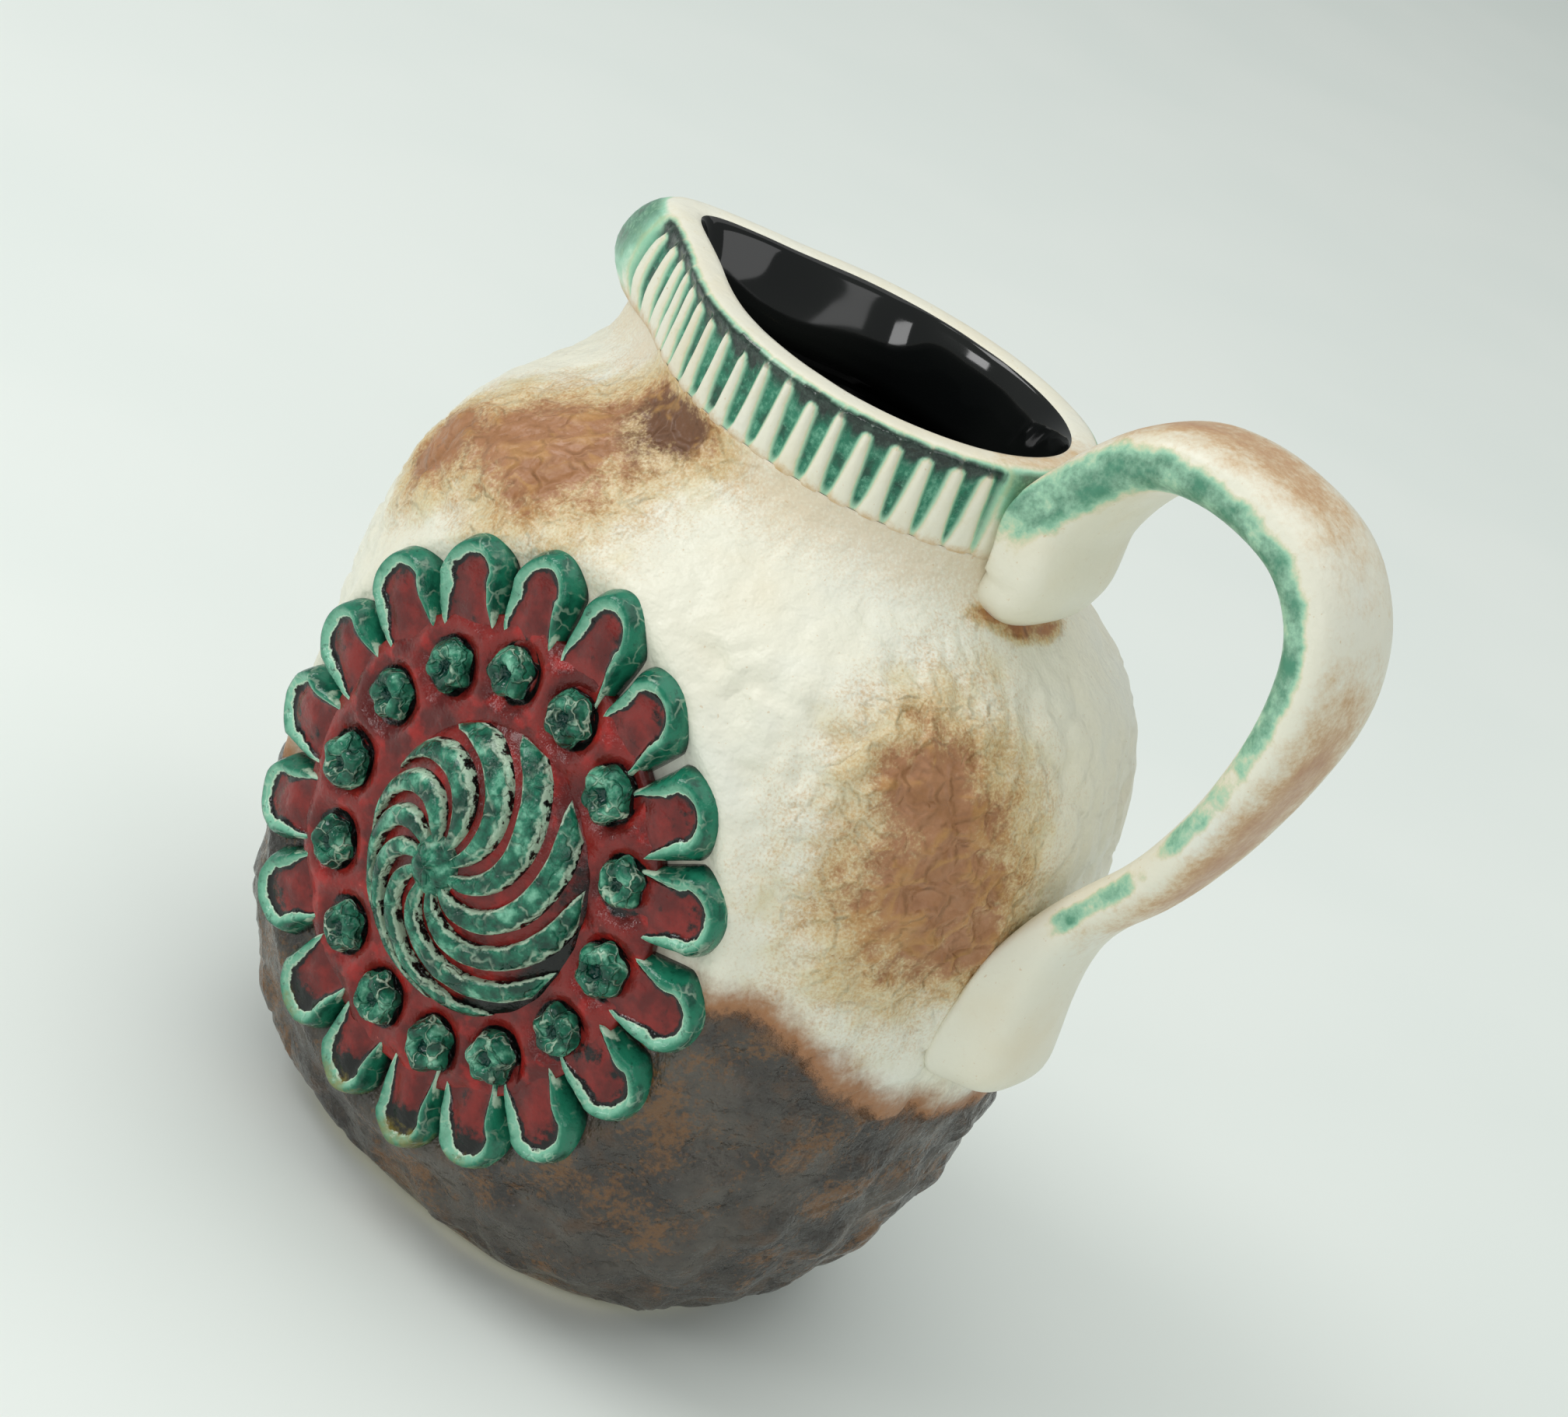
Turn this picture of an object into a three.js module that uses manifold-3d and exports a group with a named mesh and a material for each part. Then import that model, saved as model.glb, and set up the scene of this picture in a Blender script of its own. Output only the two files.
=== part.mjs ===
// Glazed earthenware jug: an oval barrel body, a fluted mouth collar with a pouring lip,
// a strap handle, and a relief rosette of petals, beads and a whorl on the front.
// Millimetres, +Z up. The lip points to -X, the handle to +X and the rosette to -Y.
// The origin is the middle of the flat base.
import * as THREE from 'three';
import { mergeVertices } from 'three/addons/utils/BufferGeometryUtils.js';
import Module from 'manifold-3d';

const wasm = await Module();
wasm.setup();

// Gap between pieces that are luted to each other, and under the pieces on the curved front
const JOINT_GAP = 0.3;
const RELIEF_GAP = 0.5;

// Body: an oval barrel
const BODY_HALF_WIDTH = 78.5;
const BODY_HALF_DEPTH = 66;
const PLAN_SQUARENESS = 2.4;
const FRONT_DEPTH = 57.5;
const FRONT_BLEND = 3;
const BELLY_HEIGHT = 92;
const BASE_HALF_WIDTH = 47;
const BARREL_SQUARENESS = 3;
const SHOULDER_RISE = 76;
const SHOULDER_ABOVE_BELLY = 54;
const SHOULDER_HEIGHT = BELLY_HEIGHT + SHOULDER_ABOVE_BELLY;
const SHOULDER_SLOPE = 0.7;
const WALL = 5;
const FLOOR = 7;
const CAVITY_CORNER = 10;

// Craggy foot: waves that cross each other below a line, which climbs beside the rosette.
// Each wave has its count round the body, its turn per millimetre of height and its start.
const CRAG_RISE = 1.3;
const CRAG_TOP_BELOW_BELLY = 24;
const CRAG_TOP_CLIMB = 20;
const CRAG_CLIMB_ANGLE = -0.85;
const CRAG_CLIMB_SPREAD = 0.45;
const CRAG_FADE = 9;
const CRAG_ROSETTE_CLEARANCE = 2;
const CRAG_WAVES = [[23, 0.14, 0], [-17, 0.26, 1.9], [9, 0.33, 4.1]];

// Mouth collar: plan of the mouth, its pouring lip and its flutes
const NECK_HEIGHT = 24;
const COLLAR_HEIGHT = 19;
const COLLAR_BOTTOM = SHOULDER_HEIGHT + NECK_HEIGHT;
const RIM_HEIGHT = COLLAR_BOTTOM + COLLAR_HEIGHT;
const MOUTH_HALF_LENGTH = 44.5;
const MOUTH_HALF_WIDTH = 35.5;
const MOUTH_SHIFT = 1;
const RIM_WALL = 7.5;
const RIM_ROUND = 2.2;
const RIM_SADDLE = 0.5;
const NECK_INSET = 2;
const LIP_REACH = 15;
const LIP_SPREAD = 0.38;
const LIP_BULGE = 6;
const LIP_BULGE_LEVEL = 0.3;
const LIP_FOOT_SHARE = 0.4;
const LIP_TOP_SHARE = 0.7;
const LIP_TOP_LEVEL = 0.65;
const LIP_DROOP = 2;
const LIP_FLARE = 0.25;
const FLUTE_COUNT = 46;
const FLUTE_DEPTH = 1.4;
const PLAIN_AT_HANDLE = 0.42;
const PLAIN_AT_LIP = 0.3;

// Handle: a strap that rises from a pad on the neck and lands on the flank
const PAD_BELOW_COLLAR = 12;
const PAD_FOOT = COLLAR_BOTTOM - PAD_BELOW_COLLAR;
const PAD_PROUD = 11.5;
const PAD_HALF_THICKNESS = 7;
const PAD_HALF_WIDTH = 13.5;
const HANDLE_RISE = 18;
const HANDLE_REACH = 28.5;
const REACH_BELOW_RIM = 9;
const HANDLE_REACH_HEIGHT = RIM_HEIGHT - REACH_BELOW_RIM;
const SPRING = 4.2;
const APEX_SHARE = 0.36;
const BEND_LONG = 13;
const BEND_SHORT = 3.5;
const LOWER_BEND_SHARE = 0.38;
const LOWER_BEND_SLIMMING = 0.87;
const STRAP_HALF_WIDTH = 13.5;
const STRAP_HALF_THICKNESS = 6.2;
const STRAP_SQUARENESS = 2.8;
const STRAP_LOW_HALF_WIDTH = 9.5;
const STRAP_LOW_HALF_THICKNESS = 5;
const SWOOP_PROUD = 16.5;
const SWOOP_SHARE = 0.24;
const LANDING_ABOVE_BELLY = 25;
const LANDING_HEIGHT = BELLY_HEIGHT + LANDING_ABOVE_BELLY;
const LANDING_PROUD = 6.5;
const TAIL_BELOW_BELLY = 13;
const TAIL_END = BELLY_HEIGHT - TAIL_BELOW_BELLY;
const TAIL_LOBE = 7;
const TAIL_HALF_WIDTH = 12;
const TAIL_HALF_THICKNESS = 8;
const TAIL_PROUD = 11.5;

// Rosette: rings of relief about one centre on the front
const ROSETTE_BELOW_BELLY = 10;
const ROSETTE_HEIGHT = BELLY_HEIGHT - ROSETTE_BELOW_BELLY;
const ROSETTE_SHIFT = -2.5;
const ROSETTE_SQUEEZE = 0.94;
const PETAL_COUNT = 18;
const PETAL_TIP_RADIUS = 59;
const PETAL_RISE = 6;
const PETAL_RIM = 3;
const PETAL_FLOOR = 3.4;
const DISC_RADIUS = 41;
const DISC_RISE = 3.4;
const BEAD_COUNT = 14;
const BEAD_RING_RADIUS = 35.5;
const BEAD_RADIUS = 4.3;
const BEAD_RISE = 3.6;
const BEAD_CRATER = 1.5;
const WHORL_RADIUS = 26;
const WHORL_RISE = 9;
const WHORL_FULLNESS = 0.7;
const ARM_COUNT = 10;
const ARM_TWIST = 1.5;
const ARM_CURL = 1.7;
const ARM_END_SHARE = 0.93;
const ARM_ROOT_TAPER = 0.8;
const ARM_TIP_TAPER = 0.35;
const ARM_TAPER_RATE = 2;
const ARM_FILL = 0.76;
const ARM_RISE = 2.2;
const HUB_RADIUS = 5.5;
const HUB_RISE = 2.6;

// Facets
const BODY_SIDES = 96;
const FOOT_SHARES = [0, 0.02, 0.05];
const LOW_START_SHARE = 0.1;
const LOW_RINGS = 18;
const BARREL_RINGS = 7;
const NECK_RINGS = 6;
const CAVITY_RINGS = 8;
const STATIONS_PER_FLUTE = 3;
const TRACE_STEPS = 12;
const STRAP_SIDES = 14;
const STRAP_STEPS = 30;
const DISC_SIDES = 36;
const BEAD_SIDES = 10;
const PETAL_TIP_STEPS = 8;
const ARM_STEPS = 10;

// Sections of the small relief, as shares of each piece's own half width and rise
const PETAL_RIM_PROFILE = [[0, 0.4], [0.4, 1], [0.8, 0.8], [1.2, 0]];
const BEAD_PROFILE = [[1, 0], [0.94, 0.6], [0.65, 1]];
const BEAD_CRATER_SHARE = 0.3;
const ARM_PROFILE = [[-1, 0], [-0.75, 0.7], [0, 1], [0.75, 0.7], [1, 0]];
const HUB_PROFILE = [[1, 0], [0.95, 0.5], [0.6, 0.9]];
const DOME_SHARES = [0.95, 0.85, 0.7, 0.5, 0.25];
const UNDERSIDE_SHARES = [0.25, 0.5, 0.75, 1];

const FULL_TURN = Math.PI * 2;
const SLOPE_STEP = 0.01;
const jug = new THREE.Group();

function glaze(color, roughness) {
  return new THREE.MeshStandardMaterial({ color, roughness, metalness: 0 });
}

const creamGlaze = () => glaze(0xe9e2cf, 0.45);
const greenGlaze = () => glaze(0x2f8463, 0.25);
const redGlaze = () => glaze(0x7d241f, 0.25);

function place(name, geometry, material) {
  const mesh = new THREE.Mesh(geometry, material);
  mesh.name = name;
  jug.add(mesh);
}

function numbered(stem, index) {
  return `${stem}_${String(index + 1).padStart(2, '0')}`;
}

// Closed surface through rings of points. A ring of one point is a pole.
function skin(rings, looped = false) {
  const positions = [];
  const starts = [];
  for (const ring of rings) {
    starts.push(positions.length / 3);
    ring.forEach((point) => positions.push(point.x, point.y, point.z));
  }
  const index = [];
  const bands = looped ? rings.length : rings.length - 1;
  for (let lower = 0; lower < bands; lower += 1) {
    const upper = (lower + 1) % rings.length;
    const sides = Math.max(rings[lower].length, rings[upper].length);
    const at = (ring, side) => starts[ring] + (side % rings[ring].length);
    for (let side = 0; side < sides; side += 1) {
      if (rings[lower].length > 1) {
        index.push(at(lower, side), at(lower, side + 1), at(upper, side + 1));
      }
      if (rings[upper].length > 1) {
        index.push(at(lower, side), at(upper, side + 1), at(upper, side));
      }
    }
  }
  const geometry = new THREE.BufferGeometry();
  geometry.setAttribute('position', new THREE.Float32BufferAttribute(positions, 3));
  geometry.setIndex(signedVolume(positions, index) < 0 ? index.reverse() : index);
  geometry.computeVertexNormals();
  return geometry;
}

function signedVolume(positions, index) {
  const corner = (place) => new THREE.Vector3().fromArray(positions, index[place] * 3);
  let volume = 0;
  for (let first = 0; first < index.length; first += 3) {
    volume += corner(first).dot(corner(first + 1).cross(corner(first + 2))) / 6;
  }
  return volume;
}

function toSolid(geometry) {
  const bare = geometry.clone();
  bare.deleteAttribute('normal');
  bare.deleteAttribute('uv');
  const merged = mergeVertices(bare);
  return new wasm.Manifold(new wasm.Mesh({
    numProp: 3,
    vertProperties: merged.attributes.position.array,
    triVerts: new Uint32Array(merged.index.array),
  }));
}

function toGeometry(solid) {
  const mesh = solid.getMesh();
  const geometry = new THREE.BufferGeometry();
  geometry.setAttribute('position', new THREE.BufferAttribute(mesh.vertProperties, 3));
  geometry.setIndex(new THREE.BufferAttribute(mesh.triVerts, 1));
  geometry.computeVertexNormals();
  return geometry;
}

function ringOf(count, point) {
  return Array.from({ length: count }, (_, step) => point((FULL_TURN * step) / count, step));
}

function bump(value, centre, spread) {
  return Math.exp(-(((value - centre) / spread) ** 2));
}

// How far a superellipse of this power stands out of the unit circle at an angle
function squareness(angle, power) {
  return (Math.abs(Math.cos(angle)) ** power + Math.abs(Math.sin(angle)) ** power) ** (-1 / power);
}

// Plan of the mouth, grown outwards by out. The lip is a rounded nose at half a turn.
function mouthPoint(angle, out, height) {
  const turn = ((angle % FULL_TURN) + FULL_TURN) % FULL_TURN;
  const reach = (LIP_REACH + out * LIP_FLARE) * bump(turn, Math.PI, LIP_SPREAD);
  return new THREE.Vector3(
    MOUTH_SHIFT + (MOUTH_HALF_LENGTH + out) * Math.cos(turn) - reach,
    (MOUTH_HALF_WIDTH + out) * Math.sin(turn),
    height,
  );
}

// Half width of the barrel, outside, at a height: two superellipse arcs that meet at the belly
function barrelHalfWidth(height) {
  const power = BARREL_SQUARENESS;
  const baseShare = (BASE_HALF_WIDTH / BODY_HALF_WIDTH) ** power;
  const lowerRise = BELLY_HEIGHT / (1 - baseShare) ** (1 / power);
  const rise = height < BELLY_HEIGHT ? lowerRise : SHOULDER_RISE;
  const share = Math.abs(height - BELLY_HEIGHT) / rise;
  return BODY_HALF_WIDTH * (1 - share ** power) ** (1 / power);
}

// Depth of the barrel in front of the axis, pressed towards a flat face that takes the rosette
function pressedDepth(depth) {
  return depth - FRONT_BLEND * Math.log(1 + Math.exp((depth - FRONT_DEPTH) / FRONT_BLEND));
}

// Point of the barrel's oval plan at a height, inset from the outside
function barrelPoint(angle, height, inset) {
  const halfWidth = barrelHalfWidth(height);
  const halfDepth = (halfWidth * BODY_HALF_DEPTH) / BODY_HALF_WIDTH;
  const scale = squareness(angle, PLAN_SQUARENESS);
  const depth = halfDepth * scale * Math.sin(angle);
  const pressed = depth < 0 ? -pressedDepth(-depth) : depth;
  return new THREE.Vector3(
    (halfWidth - inset) * scale * Math.cos(angle),
    pressed - inset * scale * Math.sin(angle),
    height,
  );
}

// Point of the wall at any height: barrel below the shoulder, then a swept curve into the neck
function wallPoint(angle, height, inset) {
  if (height <= SHOULDER_HEIGHT) {
    return barrelPoint(angle, height, inset);
  }
  const neckTop = COLLAR_BOTTOM - JOINT_GAP;
  const share = (height - SHOULDER_HEIGHT) / (neckTop - SHOULDER_HEIGHT);
  const sweep = SHOULDER_SLOPE * share * (1 - share) ** 2 + share ** 2 * (3 - 2 * share);
  const shoulder = barrelPoint(angle, SHOULDER_HEIGHT, inset);
  const neck = mouthPoint(angle, -NECK_INSET - inset, neckTop);
  const point = shoulder.lerp(neck, sweep);
  point.z = height;
  return point;
}

function wallRing(height, inset) {
  return ringOf(BODY_SIDES, (angle) => wallPoint(angle, height, inset));
}

// How far the craggy foot stands out of the wall, or lies in it
function cragLift(angle, height) {
  const turn = Math.atan2(Math.sin(angle), Math.cos(angle));
  const climb = CRAG_TOP_CLIMB * bump(turn, CRAG_CLIMB_ANGLE, CRAG_CLIMB_SPREAD);
  const top = BELLY_HEIGHT - CRAG_TOP_BELOW_BELLY + climb;
  const across = ((turn + Math.PI / 2) * BODY_HALF_WIDTH - ROSETTE_SHIFT) / ROSETTE_SQUEEZE;
  const beside = Math.hypot(across, height - ROSETTE_HEIGHT) - PETAL_TIP_RADIUS - CRAG_ROSETTE_CLEARANCE;
  const zone = [height, top - height, beside].map((room) => THREE.MathUtils.smoothstep(room, 0, CRAG_FADE));
  const waves = CRAG_WAVES.map(([count, pitch, start]) => Math.sin(count * angle + pitch * height + start));
  const wave = waves.reduce((sum, value) => sum + value, 0) / CRAG_WAVES.length;
  return CRAG_RISE * wave * zone[0] * zone[1] * zone[2];
}

function craggyRing(height) {
  return ringOf(BODY_SIDES, (angle) => wallPoint(angle, height, -cragLift(angle, height)));
}

function spread(low, high, count) {
  return Array.from({ length: count }, (_, step) => low + ((high - low) * step) / (count - 1));
}

function outerHeights() {
  const foot = FOOT_SHARES.map((share) => share * BELLY_HEIGHT);
  const low = spread(BELLY_HEIGHT * LOW_START_SHARE, BELLY_HEIGHT, LOW_RINGS);
  const barrel = spread(BELLY_HEIGHT, SHOULDER_HEIGHT, BARREL_RINGS).slice(1);
  const neck = spread(SHOULDER_HEIGHT, COLLAR_BOTTOM - JOINT_GAP, NECK_RINGS).slice(1);
  return [...foot, ...low, ...barrel, ...neck];
}

function bodyGeometry() {
  const outside = outerHeights().map(craggyRing);
  const neckWall = RIM_WALL - NECK_INSET;
  const neckHeights = spread(SHOULDER_HEIGHT, COLLAR_BOTTOM - JOINT_GAP, NECK_RINGS).reverse();
  const neckInside = neckHeights.map((height) => {
    const share = (height - SHOULDER_HEIGHT) / (COLLAR_BOTTOM - JOINT_GAP - SHOULDER_HEIGHT);
    return wallRing(height, WALL + (neckWall - WALL) * share);
  });
  const cavityHeights = spread(FLOOR + CAVITY_CORNER, SHOULDER_HEIGHT, CAVITY_RINGS).slice(0, -1).reverse();
  const inside = cavityHeights.map((height) => wallRing(height, WALL));
  const corner = wallRing(FLOOR + CAVITY_CORNER, WALL + CAVITY_CORNER);
  corner.forEach((point) => point.setZ(FLOOR));
  const base = new THREE.Vector3(0, 0, 0);
  const cavityFloor = new THREE.Vector3(0, 0, FLOOR);
  return skin([[base], ...outside, ...neckInside, ...inside, corner, [cavityFloor]]);
}

// Height of the rim: it lifts at the lip and the handle and dips between them
function rimHeight(angle) {
  return RIM_HEIGHT + RIM_SADDLE * Math.cos(2 * angle);
}

function lipShare(angle) {
  return bump(angle, Math.PI, LIP_SPREAD);
}

// Angles round the mouth at even steps of length, so that the flutes are evenly spaced
function evenMouthAngles(count) {
  const fine = count * TRACE_STEPS;
  const trace = Array.from({ length: fine + 1 }, (_, step) => mouthPoint((FULL_TURN * step) / fine, 0, 0));
  const lengths = [0];
  for (let step = 1; step <= fine; step += 1) {
    lengths.push(lengths[step - 1] + trace[step].distanceTo(trace[step - 1]));
  }
  const angles = [];
  let step = 0;
  for (let place = 0; place < count; place += 1) {
    const target = (lengths[fine] * place) / count;
    while (lengths[step + 1] < target) {
      step += 1;
    }
    const share = (target - lengths[step]) / (lengths[step + 1] - lengths[step]);
    angles.push((FULL_TURN * (step + share)) / fine);
  }
  return angles;
}

function isFluted(angle) {
  const fromHandle = Math.min(angle, FULL_TURN - angle);
  const fromLip = Math.abs(angle - Math.PI);
  return fromHandle > PLAIN_AT_HANDLE && fromLip > PLAIN_AT_LIP;
}

// Section of the collar at one place: seat, outer wall, rounded rim and inner wall
function collarSection(angle, groove) {
  const lip = lipShare(angle);
  const rim = rimHeight(angle);
  const at = (out, height) => mouthPoint(angle, out, height);
  return [
    at(-RIM_WALL, COLLAR_BOTTOM),
    at(-NECK_INSET + JOINT_GAP, COLLAR_BOTTOM),
    at(LIP_BULGE * lip * LIP_FOOT_SHARE - groove, COLLAR_BOTTOM - LIP_DROOP * lip),
    at(LIP_BULGE * lip - groove, COLLAR_BOTTOM + COLLAR_HEIGHT * LIP_BULGE_LEVEL),
    at(LIP_BULGE * lip * LIP_TOP_SHARE - groove, COLLAR_BOTTOM + COLLAR_HEIGHT * LIP_TOP_LEVEL),
    at(-RIM_ROUND / 3, rim - RIM_ROUND),
    at(-RIM_ROUND, rim),
    at(-RIM_WALL + RIM_ROUND, rim),
    at(-RIM_WALL, rim - RIM_ROUND),
  ];
}

function collarGeometry() {
  const angles = evenMouthAngles(FLUTE_COUNT * STATIONS_PER_FLUTE);
  const sections = angles.map((angle, step) => {
    const grooved = isFluted(angle) && step % STATIONS_PER_FLUTE !== 0;
    return collarSection(angle, grooved ? FLUTE_DEPTH : 0);
  });
  return skin(sections, true);
}

// Everything inside the outer faces of the body and collar, grown by the joint gap
function jugCore() {
  const grown = outerHeights().map((height) => wallRing(height, -JOINT_GAP));
  const low = new THREE.Vector3(0, 0, -JOINT_GAP);
  const neckTop = new THREE.Vector3(0, 0, COLLAR_BOTTOM - JOINT_GAP);
  const bodyCore = toSolid(skin([[low], ...grown, [neckTop]]));
  const levels = [[COLLAR_BOTTOM - 2 * JOINT_GAP, 0], [RIM_HEIGHT - RIM_ROUND, 0], [RIM_HEIGHT, -RIM_ROUND]];
  const collarRings = levels.map(([height, out]) => ringOf(BODY_SIDES, (angle) => {
    const lift = height > COLLAR_BOTTOM ? rimHeight(angle) - RIM_HEIGHT + JOINT_GAP : 0;
    return mouthPoint(angle, out + 2 * JOINT_GAP, height + lift);
  }));
  const under = new THREE.Vector3(0, 0, COLLAR_BOTTOM - 2 * JOINT_GAP);
  const over = new THREE.Vector3(0, 0, RIM_HEIGHT + JOINT_GAP);
  return bodyCore.add(toSolid(skin([[under], ...collarRings, [over]])));
}

// Stations of the strap: place in the lip-to-handle plane, half thickness and half width
function strapStations() {
  const padFace = MOUTH_SHIFT + MOUTH_HALF_LENGTH + PAD_PROUD;
  const padMiddle = padFace - PAD_HALF_THICKNESS;
  const apex = RIM_HEIGHT + HANDLE_RISE;
  const reach = BODY_HALF_WIDTH + HANDLE_REACH;
  const apexAcross = padFace + (reach - padFace) * APEX_SHARE;
  const landing = barrelHalfWidth(LANDING_HEIGHT);
  const drop = HANDLE_REACH_HEIGHT - LANDING_HEIGHT;
  const tailMiddle = (LANDING_HEIGHT + TAIL_END) / 2;
  const onFlank = (height) => barrelHalfWidth(height) + TAIL_PROUD - TAIL_HALF_THICKNESS;
  const pad = [PAD_HALF_THICKNESS, PAD_HALF_WIDTH];
  const strap = [STRAP_HALF_THICKNESS, STRAP_HALF_WIDTH];
  const slimmed = strap.map((size) => size * LOWER_BEND_SLIMMING);
  const low = [STRAP_LOW_HALF_THICKNESS, STRAP_LOW_HALF_WIDTH];
  const tail = [TAIL_HALF_THICKNESS, TAIL_HALF_WIDTH];
  const tailEnd = tail.map((size) => size / 2);
  const tailWaist = low.map((size, place) => (size + tail[place]) / 2);
  return [
    [padMiddle, PAD_FOOT, ...pad],
    [padMiddle, (PAD_FOOT + RIM_HEIGHT) / 2, ...pad],
    [padMiddle, RIM_HEIGHT - SPRING, ...pad],
    [padFace + SPRING, apex - SPRING, ...strap],
    [apexAcross, apex, ...strap],
    [reach - BEND_LONG, apex - BEND_SHORT, ...strap],
    [reach - BEND_SHORT, apex - BEND_LONG, ...strap],
    [reach, HANDLE_REACH_HEIGHT, ...strap],
    [reach - BEND_SHORT, HANDLE_REACH_HEIGHT - drop * LOWER_BEND_SHARE, ...slimmed],
    [landing + SWOOP_PROUD, LANDING_HEIGHT + drop * SWOOP_SHARE, ...low],
    [landing + LANDING_PROUD, LANDING_HEIGHT, ...low],
    [onFlank(tailMiddle), tailMiddle, ...tailWaist],
    [onFlank(TAIL_END + TAIL_LOBE), TAIL_END + TAIL_LOBE, ...tail],
    [onFlank(TAIL_END), TAIL_END, ...tailEnd],
  ];
}

function handleGeometry() {
  const stations = strapStations();
  const path = new THREE.CatmullRomCurve3(stations.map(([x, z]) => new THREE.Vector3(x, 0, z)));
  const sizes = new THREE.CatmullRomCurve3(
    stations.map(([, , thickness, width]) => new THREE.Vector3(thickness, width, 0)),
  );
  const rings = spread(0, 1, STRAP_STEPS).map((share) => {
    const middle = path.getPoint(share);
    const along = path.getTangent(share);
    const out = new THREE.Vector3(-along.z, 0, along.x);
    const size = sizes.getPoint(share);
    return ringOf(STRAP_SIDES, (angle) => {
      const scale = squareness(angle, STRAP_SQUARENESS);
      const point = middle.clone().addScaledVector(out, size.x * scale * Math.cos(angle));
      point.y = size.y * scale * Math.sin(angle);
      return point;
    });
  });
  const ends = [path.getPoint(0), path.getPoint(1)];
  const strap = toSolid(skin([[ends[0]], ...rings, [ends[1]]]));
  return toGeometry(strap.subtract(jugCore()));
}

// Point on the front of the body: across and up from the rosette's centre, lifted off the wall
function onFront(across, up, lift) {
  const angle = (ROSETTE_SHIFT + across * ROSETTE_SQUEEZE) / BODY_HALF_WIDTH - Math.PI / 2;
  const height = ROSETTE_HEIGHT + up;
  const point = wallPoint(angle, height, 0);
  const round = wallPoint(angle + SLOPE_STEP, height, 0).sub(wallPoint(angle - SLOPE_STEP, height, 0));
  const rise = wallPoint(angle, height + SLOPE_STEP, 0).sub(wallPoint(angle, height - SLOPE_STEP, 0));
  return point.addScaledVector(round.cross(rise).normalize(), lift);
}

function polar(radius, angle, lift) {
  return onFront(radius * Math.cos(angle), radius * Math.sin(angle), lift);
}

function discGeometry() {
  const top = RELIEF_GAP + DISC_RISE;
  const ring = (share, lift) => ringOf(DISC_SIDES, (angle) => polar(DISC_RADIUS * share, angle, lift));
  const under = UNDERSIDE_SHARES.map((share) => ring(share, RELIEF_GAP));
  const over = UNDERSIDE_SHARES.toReversed().map((share) => ring(share, top));
  return skin([[onFront(0, 0, RELIEF_GAP)], ...under, ...over, [onFront(0, 0, top)]]);
}

// Outline of a petal about its own axis: radial sides and a round tip, drawn in by inset.
// Each point also says how much of the raised rim it carries: none at the open inner end.
function petalOutline(inset) {
  const halfAngle = Math.PI / PETAL_COUNT;
  const inner = DISC_RADIUS + JOINT_GAP;
  const sine = Math.sin(halfAngle);
  const tipRadius = (PETAL_TIP_RADIUS * sine - JOINT_GAP / 2) / (1 + sine);
  const tipCentre = PETAL_TIP_RADIUS - tipRadius;
  const round = tipRadius - inset;
  const points = [];
  for (let step = 0; step <= PETAL_TIP_STEPS; step += 1) {
    const angle = halfAngle - Math.PI / 2 + ((Math.PI - 2 * halfAngle) * step) / PETAL_TIP_STEPS;
    points.push({ out: tipCentre + round * Math.cos(angle), side: round * Math.sin(angle), rim: 1 });
  }
  const last = points[PETAL_TIP_STEPS];
  for (const share of [0.5, 1]) {
    const out = last.out + (inner - last.out) * share;
    const side = last.side - (last.out - out) * Math.tan(halfAngle);
    const rim = 1 - share;
    points.push({ out, side, rim });
    points.unshift({ out, side: -side, rim });
  }
  return points;
}

function petalGeometry(turn) {
  const bottom = RELIEF_GAP;
  const floor = RELIEF_GAP + PETAL_FLOOR;
  const crest = RELIEF_GAP + PETAL_RISE;
  const lay = (point, lift) => {
    const across = point.out * Math.cos(turn) - point.side * Math.sin(turn);
    const up = point.out * Math.sin(turn) + point.side * Math.cos(turn);
    return onFront(across, up, lift);
  };
  const ring = (inset, height) => petalOutline(inset).map((point) => lay(point, height(point.rim)));
  const onRim = (share) => (rim) => floor + (crest - floor) * share * rim;
  const middle = { out: (DISC_RADIUS + PETAL_TIP_RADIUS) / 2, side: 0 };
  return skin([
    [lay(middle, bottom)],
    ring(0, () => bottom),
    ...PETAL_RIM_PROFILE.map(([inset, lift]) => ring(PETAL_RIM * inset, onRim(lift))),
    [lay(middle, floor)],
  ]);
}

function beadGeometry(turn) {
  const centre = new THREE.Vector2(BEAD_RING_RADIUS, 0).rotateAround(new THREE.Vector2(), turn);
  const bottom = RELIEF_GAP + DISC_RISE + JOINT_GAP;
  const ring = (radius, lift) => ringOf(BEAD_SIDES, (angle) => (
    onFront(centre.x + radius * Math.cos(angle), centre.y + radius * Math.sin(angle), bottom + lift)
  ));
  return skin([
    [onFront(centre.x, centre.y, bottom)],
    ...BEAD_PROFILE.map(([share, lift]) => ring(BEAD_RADIUS * share, BEAD_RISE * lift)),
    ring(BEAD_RADIUS * BEAD_CRATER_SHARE, BEAD_RISE - BEAD_CRATER),
    [onFront(centre.x, centre.y, bottom + BEAD_RISE - BEAD_CRATER)],
  ]);
}

// Lift of the whorl's dome above the wall at a distance from its centre
function domeLift(radius) {
  const seat = RELIEF_GAP + DISC_RISE + JOINT_GAP;
  return seat + WHORL_RISE * (1 - (radius / WHORL_RADIUS) ** 2) ** WHORL_FULLNESS;
}

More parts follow.
